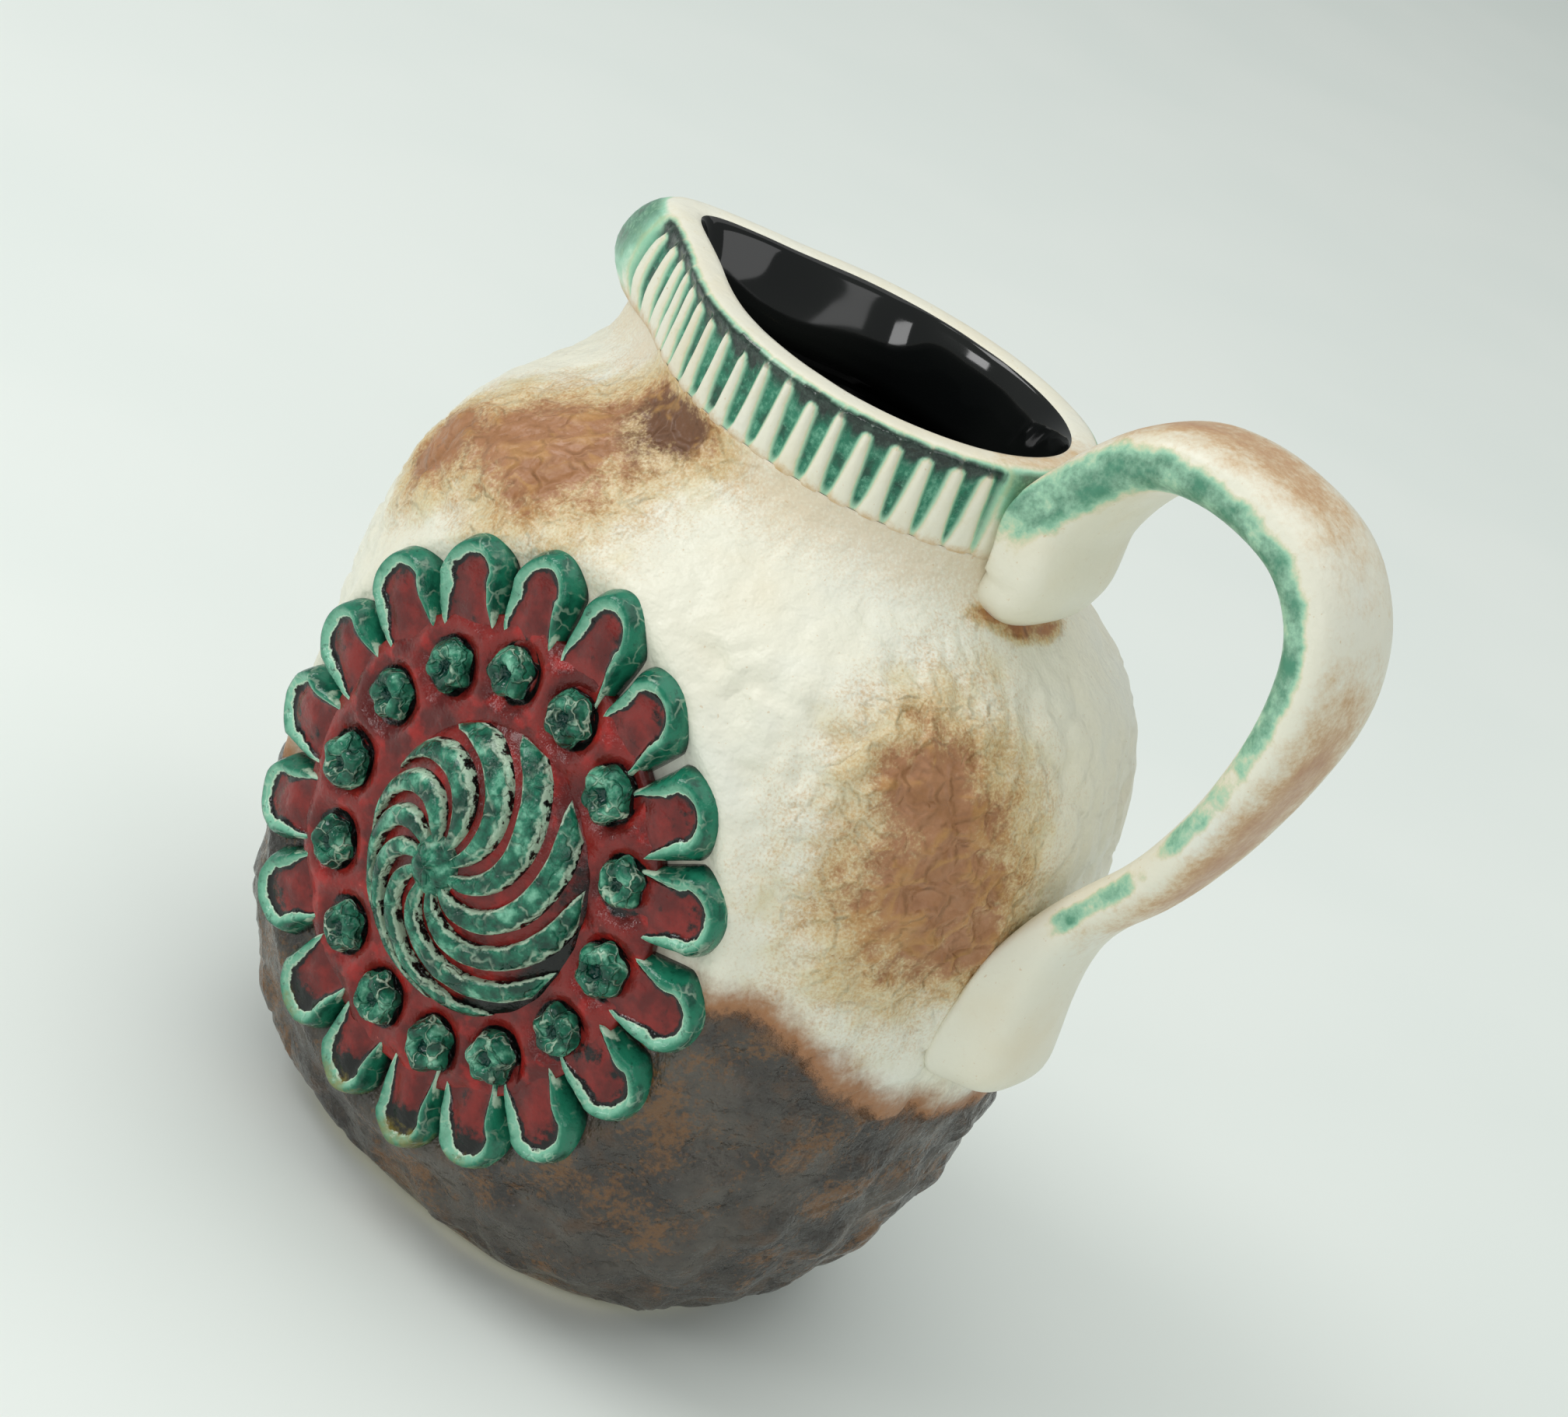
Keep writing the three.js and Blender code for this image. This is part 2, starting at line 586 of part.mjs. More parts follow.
function domeGeometry() {
  const seat = RELIEF_GAP + DISC_RISE + JOINT_GAP;
  const under = UNDERSIDE_SHARES.map((share) => (
    ringOf(DISC_SIDES, (angle) => polar(WHORL_RADIUS * share, angle, seat))
  ));
  const over = DOME_SHARES.map((share) => (
    ringOf(DISC_SIDES, (angle) => polar(WHORL_RADIUS * share, angle, domeLift(WHORL_RADIUS * share)))
  ));
  return skin([[onFront(0, 0, seat)], ...under, ...over, [onFront(0, 0, domeLift(0))]]);
}

// A curved ridge on the dome, from the hub outwards, swinging anticlockwise as seen from the front
function armGeometry(turn) {
  const inner = HUB_RADIUS + JOINT_GAP;
  const outer = WHORL_RADIUS * ARM_END_SHARE;
  const sections = spread(0, 1, ARM_STEPS).map((share) => {
    const radius = inner + (outer - inner) * share;
    const angle = turn + ARM_TWIST * share ** ARM_CURL;
    const fromRoot = ARM_ROOT_TAPER + ARM_TAPER_RATE * share;
    const fromTip = ARM_TIP_TAPER + ARM_TAPER_RATE * (1 - share);
    const taper = Math.min(1, fromRoot, fromTip);
    return ARM_PROFILE.map(([side, lift]) => {
      const shift = (side * ARM_FILL * taper * Math.PI) / ARM_COUNT;
      return polar(radius, angle + shift, domeLift(radius) + JOINT_GAP + lift * ARM_RISE * taper);
    });
  });
  const middleOf = (section) => section[0].clone().lerp(section[4], 0.5).lerp(section[2], 0.5);
  return skin([[middleOf(sections[0])], ...sections, [middleOf(sections.at(-1))]]);
}

function hubGeometry() {
  const ring = (share, lift) => ringOf(BEAD_SIDES, (angle) => {
    const radius = HUB_RADIUS * share;
    return polar(radius, angle, domeLift(radius) + JOINT_GAP + lift);
  });
  const top = domeLift(0) + JOINT_GAP + HUB_RISE;
  return skin([
    [onFront(0, 0, domeLift(0) + JOINT_GAP)],
    ...HUB_PROFILE.map(([share, lift]) => ring(share, HUB_RISE * lift)),
    [onFront(0, 0, top)],
  ]);
}

place('body', bodyGeometry(), creamGlaze());
place('mouth_collar', collarGeometry(), creamGlaze());
place('handle', handleGeometry(), creamGlaze());
place('rosette_disc', discGeometry(), redGlaze());
for (let petal = 0; petal < PETAL_COUNT; petal += 1) {
  place(numbered('petal', petal), petalGeometry((FULL_TURN * petal) / PETAL_COUNT), greenGlaze());
}
for (let bead = 0; bead < BEAD_COUNT; bead += 1) {
  place(numbered('bead', bead), beadGeometry((FULL_TURN * bead) / BEAD_COUNT), greenGlaze());
}
place('whorl_dome', domeGeometry(), redGlaze());
for (let arm = 0; arm < ARM_COUNT; arm += 1) {
  place(numbered('whorl_arm', arm), armGeometry((FULL_TURN * arm) / ARM_COUNT), greenGlaze());
}
place('whorl_hub', hubGeometry(), greenGlaze());

export default jug;
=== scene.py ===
"""Glazed earthenware jug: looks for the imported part, in metres, in the part's own frame."""
import math
import bpy
import bmesh
import numpy as np
from mathutils import Matrix, Vector


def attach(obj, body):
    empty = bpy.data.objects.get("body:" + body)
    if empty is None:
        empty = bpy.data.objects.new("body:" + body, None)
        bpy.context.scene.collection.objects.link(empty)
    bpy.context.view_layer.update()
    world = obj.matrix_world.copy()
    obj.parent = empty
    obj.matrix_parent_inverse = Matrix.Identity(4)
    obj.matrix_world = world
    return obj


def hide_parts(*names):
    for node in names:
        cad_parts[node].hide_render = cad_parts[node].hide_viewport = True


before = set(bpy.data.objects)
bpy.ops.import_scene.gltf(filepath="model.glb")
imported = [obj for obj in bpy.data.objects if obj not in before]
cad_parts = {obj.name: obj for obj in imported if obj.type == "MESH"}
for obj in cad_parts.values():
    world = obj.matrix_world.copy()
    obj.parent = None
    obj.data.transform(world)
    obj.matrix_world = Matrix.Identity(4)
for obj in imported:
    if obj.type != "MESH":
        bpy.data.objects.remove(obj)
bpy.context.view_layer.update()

MM = 0.001
FULL_TURN = 2 * math.pi
VOLUME_SAMPLES = 4000
WELD_DISTANCE = 0.0005 * MM
HASH_STEPS = (374761393, 668265263, 1440662683, 1274126177)
HASH_MASK = 0xFFFFFFFF

# Body, in millimetres
BODY_HALF_WIDTH = 78.5
BODY_HALF_DEPTH = 66.0
PLAN_SQUARENESS = 2.4
FRONT_DEPTH = 57.5
FRONT_BLEND = 3.0
BELLY_HEIGHT = 92.0
BASE_HALF_WIDTH = 47.0
BARREL_SQUARENESS = 3.0
SHOULDER_RISE = 76.0
SHOULDER_HEIGHT = 146.0
SHOULDER_SLOPE = 0.7
WALL = 5.0
FLOOR = 7.0
CAVITY_CORNER = 10.0

# Craggy foot: waves that cross each other below a line, which climbs beside the rosette
CRAG_RISE = 1.3
CRAG_TOP_BELOW_BELLY = 24.0
CRAG_TOP_CLIMB = 20.0
CRAG_CLIMB_ANGLE = -0.85
CRAG_CLIMB_SPREAD = 0.45
CRAG_FADE = 9.0
CRAG_ROSETTE_CLEARANCE = 2.0
CRAG_WAVES = [(23, 0.14, 0.0), (-17, 0.26, 1.9), (9, 0.33, 4.1)]

# Mouth collar
COLLAR_BOTTOM = 170.0
RIM_HEIGHT = 189.0
MOUTH_HALF_LENGTH = 44.5
MOUTH_HALF_WIDTH = 35.5
MOUTH_SHIFT = 1.0
RIM_WALL = 7.5
RIM_SADDLE = 0.5
NECK_INSET = 2.0
LIP_REACH = 15.0
LIP_SPREAD = 0.38
LIP_BULGE = 6.0
LIP_DROOP = 2.0
LIP_FLARE = 0.25
FLUTE_COUNT = 46
FLUTE_DEPTH = 1.35
FLUTE_PHASE = 0.3
THROAT = 3.9

# Handle
PAD_FOOT = 158.0
PAD_PROUD = 11.5
PAD_HALF_THICKNESS = 7.0
PAD_HALF_WIDTH = 13.5
HANDLE_RISE = 18.0
HANDLE_REACH = 28.5
HANDLE_REACH_HEIGHT = 180.0
SPRING = 4.2
APEX_SHARE = 0.36
BEND_LONG = 13.0
BEND_SHORT = 3.5
LOWER_BEND_SHARE = 0.38
LOWER_BEND_SLIMMING = 0.87
STRAP_HALF_WIDTH = 13.5
STRAP_HALF_THICKNESS = 6.2
STRAP_SQUARENESS = 2.8
STRAP_LOW_HALF_WIDTH = 9.5
STRAP_LOW_HALF_THICKNESS = 5.0
SWOOP_PROUD = 16.5
SWOOP_SHARE = 0.24
LANDING_HEIGHT = 117.0
LANDING_PROUD = 6.5
TAIL_END = 79.0
TAIL_LOBE = 7.0
TAIL_HALF_WIDTH = 12.0
TAIL_HALF_THICKNESS = 8.0
TAIL_PROUD = 11.5
FILLET = 6.5
PAD_THINNING = 5.0

# Rosette
ROSETTE_HEIGHT = 82.0
ROSETTE_SHIFT = -2.5
ROSETTE_SQUEEZE = 0.94
ROSETTE_WIDE = 1.025
ROSETTE_TALL = 1.06
ROSETTE_LIFT = 1.2
PETAL_COUNT = 18
PETAL_TIP_RADIUS = 59.0
DISC_LEVEL = 3.9
BEAD_COUNT = 14
BEAD_RING_RADIUS = 35.5
BEAD_RADIUS = 4.5
BEAD_RISE = 3.9
BEAD_SHIFT = 1.5
WHORL_RADIUS = 26.0
WHORL_RISE = 9.0
WHORL_FULLNESS = 0.7
WHORL_SHIFT = 4.0
WHORL_LEAN = 4.0
WHORL_TALL = 1.11
ARM_COUNT = 10
ARM_TWIST = 1.5
ARM_CURL = 1.7
HUB_RADIUS = 5.5
HUB_RISE = 2.8


def smooth(value, low, high):
    share = np.clip((value - low) / (high - low), 0, 1)
    return share * share * (3 - 2 * share)


# Seeded value noise on a lattice, from -1 to 1
def lattice(ix, iy, iz, seed):
    mixed = sum(value * step for value, step in zip((ix, iy, iz, seed), HASH_STEPS)) & HASH_MASK
    mixed = ((mixed ^ (mixed >> 13)) * HASH_STEPS[3]) & HASH_MASK
    return ((mixed ^ (mixed >> 16)) & 0xFFFF) / 65535.0


def value_noise(points, seed):
    cell = np.floor(points).astype(np.int64)
    part = points - cell
    ease = part * part * (3 - 2 * part)
    total = 0
    for corner in range(8):
        step = [(corner >> axis) & 1 for axis in range(3)]
        weight = 1
        for axis in range(3):
            weight = weight * (ease[..., axis] if step[axis] else 1 - ease[..., axis])
        value = lattice(cell[..., 0] + step[0], cell[..., 1] + step[1], cell[..., 2] + step[2], seed)
        total = total + weight * value
    return total * 2 - 1


def layered_noise(points, size, seed, layers=3):
    total, strength, norm = 0, 1.0, 0
    for layer in range(layers):
        total = total + strength * value_noise(points / size * 2 ** layer, seed + layer * 17)
        norm += strength
        strength *= 0.5
    return total / norm


# Distances to the nearest and second nearest of scattered points, in cells
def cell_noise(points, seed):
    cell = np.floor(points).astype(np.int64)
    near = np.full(points.shape[:-1], 9.0)
    second = near.copy()
    for offset in np.ndindex(3, 3, 3):
        at = [cell[..., axis] + offset[axis] - 1 for axis in range(3)]
        spot = np.stack([at[axis] + lattice(*at, seed + 31 * axis) for axis in range(3)], -1)
        gap = np.linalg.norm(points - spot, axis=-1)
        second = np.minimum(second, np.maximum(near, gap))
        near = np.minimum(near, gap)
    return near, second


def squareness(angle, power):
    return (np.abs(np.cos(angle)) ** power + np.abs(np.sin(angle)) ** power) ** (-1 / power)


def lip_share(angle):
    turn = np.mod(angle, FULL_TURN)
    return np.exp(-((turn - math.pi) / LIP_SPREAD) ** 2)


def mouth_point(angle, out, height):
    reach = (LIP_REACH + out * LIP_FLARE) * lip_share(angle)
    x = MOUTH_SHIFT + (MOUTH_HALF_LENGTH + out) * np.cos(angle) - reach
    y = (MOUTH_HALF_WIDTH + out) * np.sin(angle)
    return np.stack(np.broadcast_arrays(x, y, height), -1)


def barrel_half_width(height):
    power = BARREL_SQUARENESS
    base_share = (BASE_HALF_WIDTH / BODY_HALF_WIDTH) ** power
    lower_rise = BELLY_HEIGHT / (1 - base_share) ** (1 / power)
    rise = np.where(height < BELLY_HEIGHT, lower_rise, SHOULDER_RISE)
    share = np.abs(height - BELLY_HEIGHT) / rise
    return BODY_HALF_WIDTH * (1 - share ** power) ** (1 / power)


def barrel_point(angle, height, inset):
    half_width = barrel_half_width(height)
    half_depth = half_width * BODY_HALF_DEPTH / BODY_HALF_WIDTH
    scale = squareness(angle, PLAN_SQUARENESS)
    depth = half_depth * scale * np.sin(angle)
    front = np.maximum(-depth, 0)
    pressed = front - FRONT_BLEND * np.log1p(np.exp((front - FRONT_DEPTH) / FRONT_BLEND))
    depth = np.where(depth < 0, -pressed, depth)
    x = (half_width - inset) * scale * np.cos(angle)
    y = depth - inset * scale * np.sin(angle)
    return np.stack(np.broadcast_arrays(x, y, height), -1)


def wall_point(angle, height, inset):
    height = np.asarray(height, float)
    barrel = barrel_point(angle, np.minimum(height, SHOULDER_HEIGHT), inset)
    share = np.clip((height - SHOULDER_HEIGHT) / (COLLAR_BOTTOM - SHOULDER_HEIGHT), 0, 1)
    sweep = SHOULDER_SLOPE * share * (1 - share) ** 2 + share ** 2 * (3 - 2 * share)
    neck = mouth_point(angle, -NECK_INSET - inset, COLLAR_BOTTOM)
    point = barrel + (neck - barrel) * np.asarray(sweep)[..., None]
    point[..., 2] = height
    return point


def grid_normals(rows):
    round_step = np.roll(rows, -1, 1) - np.roll(rows, 1, 1)
    up_step = np.gradient(rows, axis=0)
    normal = np.cross(round_step, up_step)
    return normal / (np.linalg.norm(normal, axis=-1, keepdims=True) + 1e-12)


# Point over the front of the body: across and up from the rosette's centre, lifted off the wall
def on_front(flat):
    angle = (ROSETTE_SHIFT + flat[..., 0] * ROSETTE_SQUEEZE) / BODY_HALF_WIDTH - math.pi / 2
    height = ROSETTE_HEIGHT + flat[..., 1]
    step = 0.01
    round_step = wall_point(angle + step, height, 0) - wall_point(angle - step, height, 0)
    up_step = wall_point(angle, height + step, 0) - wall_point(angle, height - step, 0)
    normal = np.cross(round_step, up_step)
    normal /= np.linalg.norm(normal, axis=-1, keepdims=True)
    return wall_point(angle, height, 0) + normal * flat[..., 2:3]


# Mesh through rows of points. Columns always go round; poles close the two ends.
def build(name, rows, values, poles=(None, None), looped=False):
    rows = np.asarray(rows, float)
    count, sides = rows.shape[:2]
    points = rows.reshape(-1, 3)
    row_of = np.arange(count * sides).reshape(count, sides)
    lower, upper = row_of, np.roll(row_of, -1, 0)
    if not looped:
        lower, upper = lower[:-1], upper[:-1]
    faces = np.stack([lower, np.roll(lower, -1, 1), np.roll(upper, -1, 1), upper], -1).reshape(-1, 4).tolist()
    ends = []
    for end, pole in enumerate(poles):
        if pole is None:
            continue
        tip = len(points)
        points = np.vstack([points, np.asarray(pole, float)[None]])
        edge = row_of[0] if end == 0 else row_of[-1]
        for here, there in zip(edge.tolist(), np.roll(edge, -1).tolist()):
            faces.append([here, tip, there] if end == 0 else [here, there, tip])
        ends.append(edge)
    # The faces turn outwards: a sample of them shows whether the volume inside is positive
    middle = points.mean(0)
    volume = 0.0
    for face in faces[:: max(1, len(faces) // VOLUME_SAMPLES)]:
        a, b, c = points[face[:3]] - middle
        volume += np.dot(a, np.cross(b, c))
    if volume < 0:
        faces = [face[::-1] for face in faces]
    mesh = bpy.data.meshes.new(name)
    mesh.from_pydata((points * MM).tolist(), [], faces)
    mesh.polygons.foreach_set("use_smooth", np.ones(len(faces), bool))
    for key, value in values.items():
        flat = np.asarray(value, float).reshape(-1)
        store(mesh, key, np.concatenate([flat, [flat[edge].mean() for edge in ends]]))
    mesh.update()
    piece = bpy.data.objects.new(name, mesh)
    bpy.context.scene.collection.objects.link(piece)
    return piece


def store(mesh, key, flat):
    attribute = mesh.attributes.new(key, "FLOAT", "POINT")
    attribute.data.foreach_set("value", np.asarray(flat, np.float32))


def coat(piece, *glazes):
    for glaze in glazes:
        piece.data.materials.append(glaze)


def even(low, high, count):
    return np.linspace(low, high, count)


def all_round(sides):
    return np.arange(sides) * FULL_TURN / sides


# Materials, built from shader nodes whose constants sit on the sockets
def srgb(red, green, blue):
    linear = [((c / 255 + 0.055) / 1.055) ** 2.4 if c > 10 else c / 255 / 12.92 for c in (red, green, blue)]
    return (*linear, 1.0)


# One more node in a tree: each input is a constant or the output of another node
def add_node(tree, kind, inputs, output=0, **settings):
    node = tree.nodes.new(kind)
    for key, value in settings.items():
        setattr(node, key, value)
    for socket, value in inputs.items():
        if isinstance(value, bpy.types.NodeSocket):
            tree.links.new(value, node.inputs[socket])
        else:
            node.inputs[socket].default_value = value
    return node.outputs[output] if len(node.outputs) else None


# A glaze in the making. Its noise and cracks are sized in millimetres.
class Glaze:
    def __init__(self, name):
        self.material = bpy.data.materials.new(name)
        self.material.use_nodes = True
        self.tree = self.material.node_tree
        self.tree.nodes.clear()
        place = self.node("TexCoord", {}, "Object")
        self.place = self.node("VectorMath", {0: place, "Scale": 1 / MM}, operation="SCALE")

    def node(self, kind, inputs, output=0, **settings):
        return add_node(self.tree, "ShaderNode" + kind, inputs, output, **settings)

    def attribute(self, name):
        return self.node("Attribute", {}, "Fac", attribute_name=name)

    def noise(self, size, detail=3.0, rough=0.55):
        inputs = {"Vector": self.place, "Scale": 1.0 / size, "Detail": detail, "Roughness": rough}
        return self.node("TexNoise", inputs, "Fac")

    # Distance to the cracks between cells that are warped by noise
    def cracks(self, size, warp_size, warp):
        noise = self.node("TexNoise", {"Vector": self.place, "Scale": 1.0 / warp_size}, "Color")
        shift = self.node("VectorMath", {0: noise, "Scale": warp}, operation="SCALE")
        place = self.node("VectorMath", {0: self.place, 1: shift}, operation="ADD")
        inputs = {"Vector": place, "Scale": 1.0 / size, "Randomness": 1.0}
        return self.node("TexVoronoi", inputs, "Distance", feature="DISTANCE_TO_EDGE")

    def times(self, first, second):
        return self.node("Math", {0: first, 1: second}, operation="MULTIPLY")

    # Sum of terms, each a value and its weight
    def sum(self, *terms):
        total = None
        for value, weight in terms:
            part = self.times(value, weight)
            total = part if total is None else self.node("Math", {0: total, 1: part}, operation="ADD")
        return total

    # A mark painted on the mesh, made ragged by further terms
    def mark(self, name, *terms):
        return self.sum((self.attribute(name), 1.0), *terms)

    def step(self, value, low, high, start=0.0, end=1.0):
        inputs = {"Value": value, "From Min": low, "From Max": high, "To Min": start, "To Max": end}
        return self.node("MapRange", inputs, interpolation_type="SMOOTHSTEP")

    def mix(self, share, first, second):
        return self.node("Mix", {0: share, 6: first, 7: second}, 2, data_type="RGBA")

    # Colours laid over the first in turn: each shows as its value goes from low to high, up to a share
    def layers(self, colour, *coats):
        for top, value, low, high, *share in coats:
            colour = self.mix(self.step(value, low, high, 0.0, *share), colour, top)
        return colour

    def blend(self, share, first, second):
        return self.node("Mix", {0: share, 2: first, 3: second})

    def finish(self, colour, rough, height=None, depth=0.2, shine=0.5):
        inputs = {"Base Color": colour, "Roughness": rough, "Specular IOR Level": shine}
        if height is not None:
            inputs["Normal"] = self.node("Bump", {"Distance": depth * MM, "Strength": 1.0, "Height": height})
        self.node("OutputMaterial", {"Surface": self.node("BsdfPrincipled", inputs)})
        return self.material


CREAM = srgb(234, 231, 213)
WARM_CREAM = srgb(228, 214, 182)
COOL_CREAM = srgb(229, 233, 226)
OCHRE = srgb(198, 150, 82)
YELLOW = srgb(208, 188, 118)
BROWN = srgb(156, 105, 66)
RED_BROWN = srgb(172, 121, 86)
DEEP_BROWN = srgb(88, 52, 33)
TAN = srgb(178, 130, 98)
DARK = srgb(56, 52, 49)
GREY = srgb(88, 82, 75)
DARK_BROWN = srgb(86, 66, 50)
RUST = srgb(128, 88, 48)
AMBER = srgb(150, 88, 20)
BLACK = srgb(13, 14, 13)
GREEN = srgb(36, 122, 94)
DEEP_GREEN = srgb(12, 62, 48)
MINT = srgb(146, 210, 180)
PALE_MINT = srgb(205, 226, 200)
RED = srgb(132, 34, 30)
DEEP_RED = srgb(92, 22, 20)
BRIGHT_RED = srgb(170, 34, 30)
CHIPPED_RED = srgb(190, 96, 84)
OLIVE = srgb(128, 112, 40)
ROOT_GREEN = srgb(26, 40, 33)
CRATER_GREEN = srgb(14, 58, 52)
BAND_DARK, BAND_PALE = srgb(30, 36, 34), srgb(56, 68, 62)
INSIDE_DARK, INSIDE_PALE = srgb(13, 15, 15), srgb(27, 29, 27)
PAPER_DARK, PAPER_PALE = srgb(236, 242, 237), srgb(239, 244, 239)
ROOM = srgb(232, 238, 236)


def cream_base(glaze):
    broad = glaze.noise(34, 3)
    colour = glaze.layers(
        CREAM, (WARM_CREAM, broad, 0.5, 0.75, 0.55), (COOL_CREAM, broad, 0.5, 0.25, 0.5),
        (OCHRE, glaze.noise(0.9, 1), 0.72, 0.8, 0.35))
    return colour, glaze.noise(2.2, 2)


def body_glaze():
    glaze = Glaze("body_glaze")
    cream, fine = cream_base(glaze)
    speckle = glaze.noise(1.3, 3, 0.7)
    blotch = glaze.noise(7, 4, 0.6)
    dots = glaze.noise(0.55, 2, 0.6)
    edge = glaze.mark("foot", (speckle, 0.22), (blotch, 0.25))
    brown = glaze.layers(
        RED_BROWN, (BROWN, blotch, 0.4, 0.7),
        (DEEP_BROWN, glaze.mark("smear", (blotch, 0.6)), 0.5, 1.1, 0.85),
        (OCHRE, glaze.mark("ridge", (speckle, 0.5)), 0.7, 1.35, 0.5))
    grey = glaze.layers(
        DARK, (GREY, glaze.noise(24, 4, 0.6), 0.4, 0.62), (DARK_BROWN, blotch, 0.5, 0.72, 0.8),
        (RUST, glaze.sum((speckle, 0.7), (glaze.noise(15, 3), 1.0)), 0.86, 1.06, 0.65))
    # Cream, sponged brown with its halo, the dark foot with its amber edge, bare clay where it stands
    colour = glaze.layers(
        cream, (OCHRE, glaze.mark("warm", (dots, 1.2), (blotch, 0.5)), 1.35, 1.95, 0.3),
        (YELLOW, glaze.mark("sponge", (glaze.noise(11, 3), 1.4)), 0.5, 1.0, 0.45),
        (OCHRE, glaze.mark("sponge", (dots, 1.1), (blotch, 0.9), (speckle, 0.4)), 0.95, 1.85, 0.68),
        (brown, glaze.mark("sponge", (speckle, 0.5), (blotch, 1.0), (dots, 0.4)), 1.2, 1.6, 0.95),
        (AMBER, edge, -0.22, 0.16, 0.9), (grey, edge, 0.16, 0.34),
        (WARM_CREAM, glaze.mark("bare", (blotch, 0.5)), 0.6, 0.85))
    dark = glaze.step(edge, 0.16, 0.34)
    satin, gloss = [glaze.step(blotch, 0.2, 0.8, *ends) for ends in ((0.34, 0.5), (0.14, 0.32))]
    wrinkle = glaze.step(glaze.cracks(7.0, 6.0, 7.0), 0.26, 0.0)
    wrinkled = glaze.times(wrinkle, glaze.step(glaze.attribute("sponge"), -0.3, 0.3, 0.12, 1.0))
    crags = glaze.times(dark, glaze.noise(4.4, 4, 0.6))
    height = glaze.sum((fine, 0.22), (glaze.noise(5, 3), 0.9), (wrinkled, 0.6), (crags, 1.5))
    return glaze.finish(colour, glaze.blend(dark, satin, gloss), height, 1.0, 0.45)


def inside_glaze():
    glaze = Glaze("inside_glaze")
    wave = glaze.noise(34, 1)
    colour = glaze.layers(INSIDE_DARK, (INSIDE_PALE, wave, 0.35, 0.7))
    return glaze.finish(colour, glaze.step(wave, 0.3, 0.7, 0.05, 0.1), wave, 5.0, 0.45)


def collar_glaze():
    glaze = Glaze("collar_glaze")
    cream, fine = cream_base(glaze)
    cloud = glaze.noise(5, 4, 0.6)
    grain = glaze.noise(1.0, 3, 0.7)
    green = glaze.layers(
        DEEP_GREEN, (GREEN, cloud, 0.3, 0.56), (MINT, glaze.sum((grain, 0.6), (cloud, 0.5)), 0.5, 0.75, 0.5))
    wash = glaze.mark("wash", (cloud, 0.7), (grain, 0.25))
    groove = glaze.mark("groove", (cloud, 0.45), (grain, 0.2))
    band = glaze.mark("band", (cloud, 0.6), (grain, 0.2))
    colour = glaze.layers(
        cream, (OCHRE, glaze.mark("collar_foot", (cloud, 0.6), (grain, 0.4)), 0.9, 1.4, 0.75),
        (glaze.layers(MINT, (green, wash, 0.9, 1.35)), wash, 0.62, 1.05, 0.9),
        (YELLOW, groove, 0.3, 0.6, 0.35), (MINT, groove, 0.45, 0.85, 0.75), (green, groove, 0.7, 1.3),
        (glaze.layers(BAND_DARK, (BAND_PALE, grain, 0.4, 0.7)), band, 0.7, 1.15, 0.95))
    dark = glaze.step(band, 0.7, 1.15, 0, 0.95)
    rough = glaze.blend(dark, glaze.step(cloud, 0.3, 0.7, 0.28, 0.42), 0.14)
    return glaze.finish(colour, rough, glaze.sum((fine, 0.5), (cloud, 0.8)), 0.3, 0.45)


def handle_glaze():
    glaze = Glaze("handle_glaze")
    cream, fine = cream_base(glaze)
    cloud = glaze.noise(6, 4, 0.6)
    grain = glaze.noise(1.1, 3, 0.7)
    brown = glaze.mark("brown", (cloud, 0.9), (grain, 0.7))
    stripe = glaze.mark("stripe", (cloud, 1.5), (grain, 0.4))
    green = glaze.layers(DEEP_GREEN, (GREEN, cloud, 0.4, 0.65))
    colour = glaze.layers(
        cream, (OCHRE, brown, 0.9, 1.7, 0.75), (TAN, brown, 1.3, 2.0, 0.85),
        (YELLOW, stripe, 1.2, 1.6, 0.4), (MINT, stripe, 1.35, 1.8, 0.85), (green, stripe, 1.6, 2.2, 0.85))
    rough = glaze.step(cloud, 0.3, 0.7, 0.3, 0.44)
    return glaze.finish(colour, rough, glaze.sum((fine, 0.4), (cloud, 1.0)), 0.3, 0.45)


def crackled_green(glaze, vein_size, vein_share):
    veins = glaze.cracks(vein_size, 3.0, 4.5)
    cloud = glaze.noise(4.5, 4, 0.6)
    green = glaze.layers(DEEP_GREEN, (GREEN, cloud, 0.36, 0.62), (MINT, cloud, 0.52, 0.74, 0.85))
    broken = glaze.step(glaze.noise(5, 3), 0.44, 0.66, 0, vein_share)
    line = glaze.times(glaze.step(veins, 0.1, 0.01), broken)
    return glaze.mix(line, green, PALE_MINT), veins, cloud


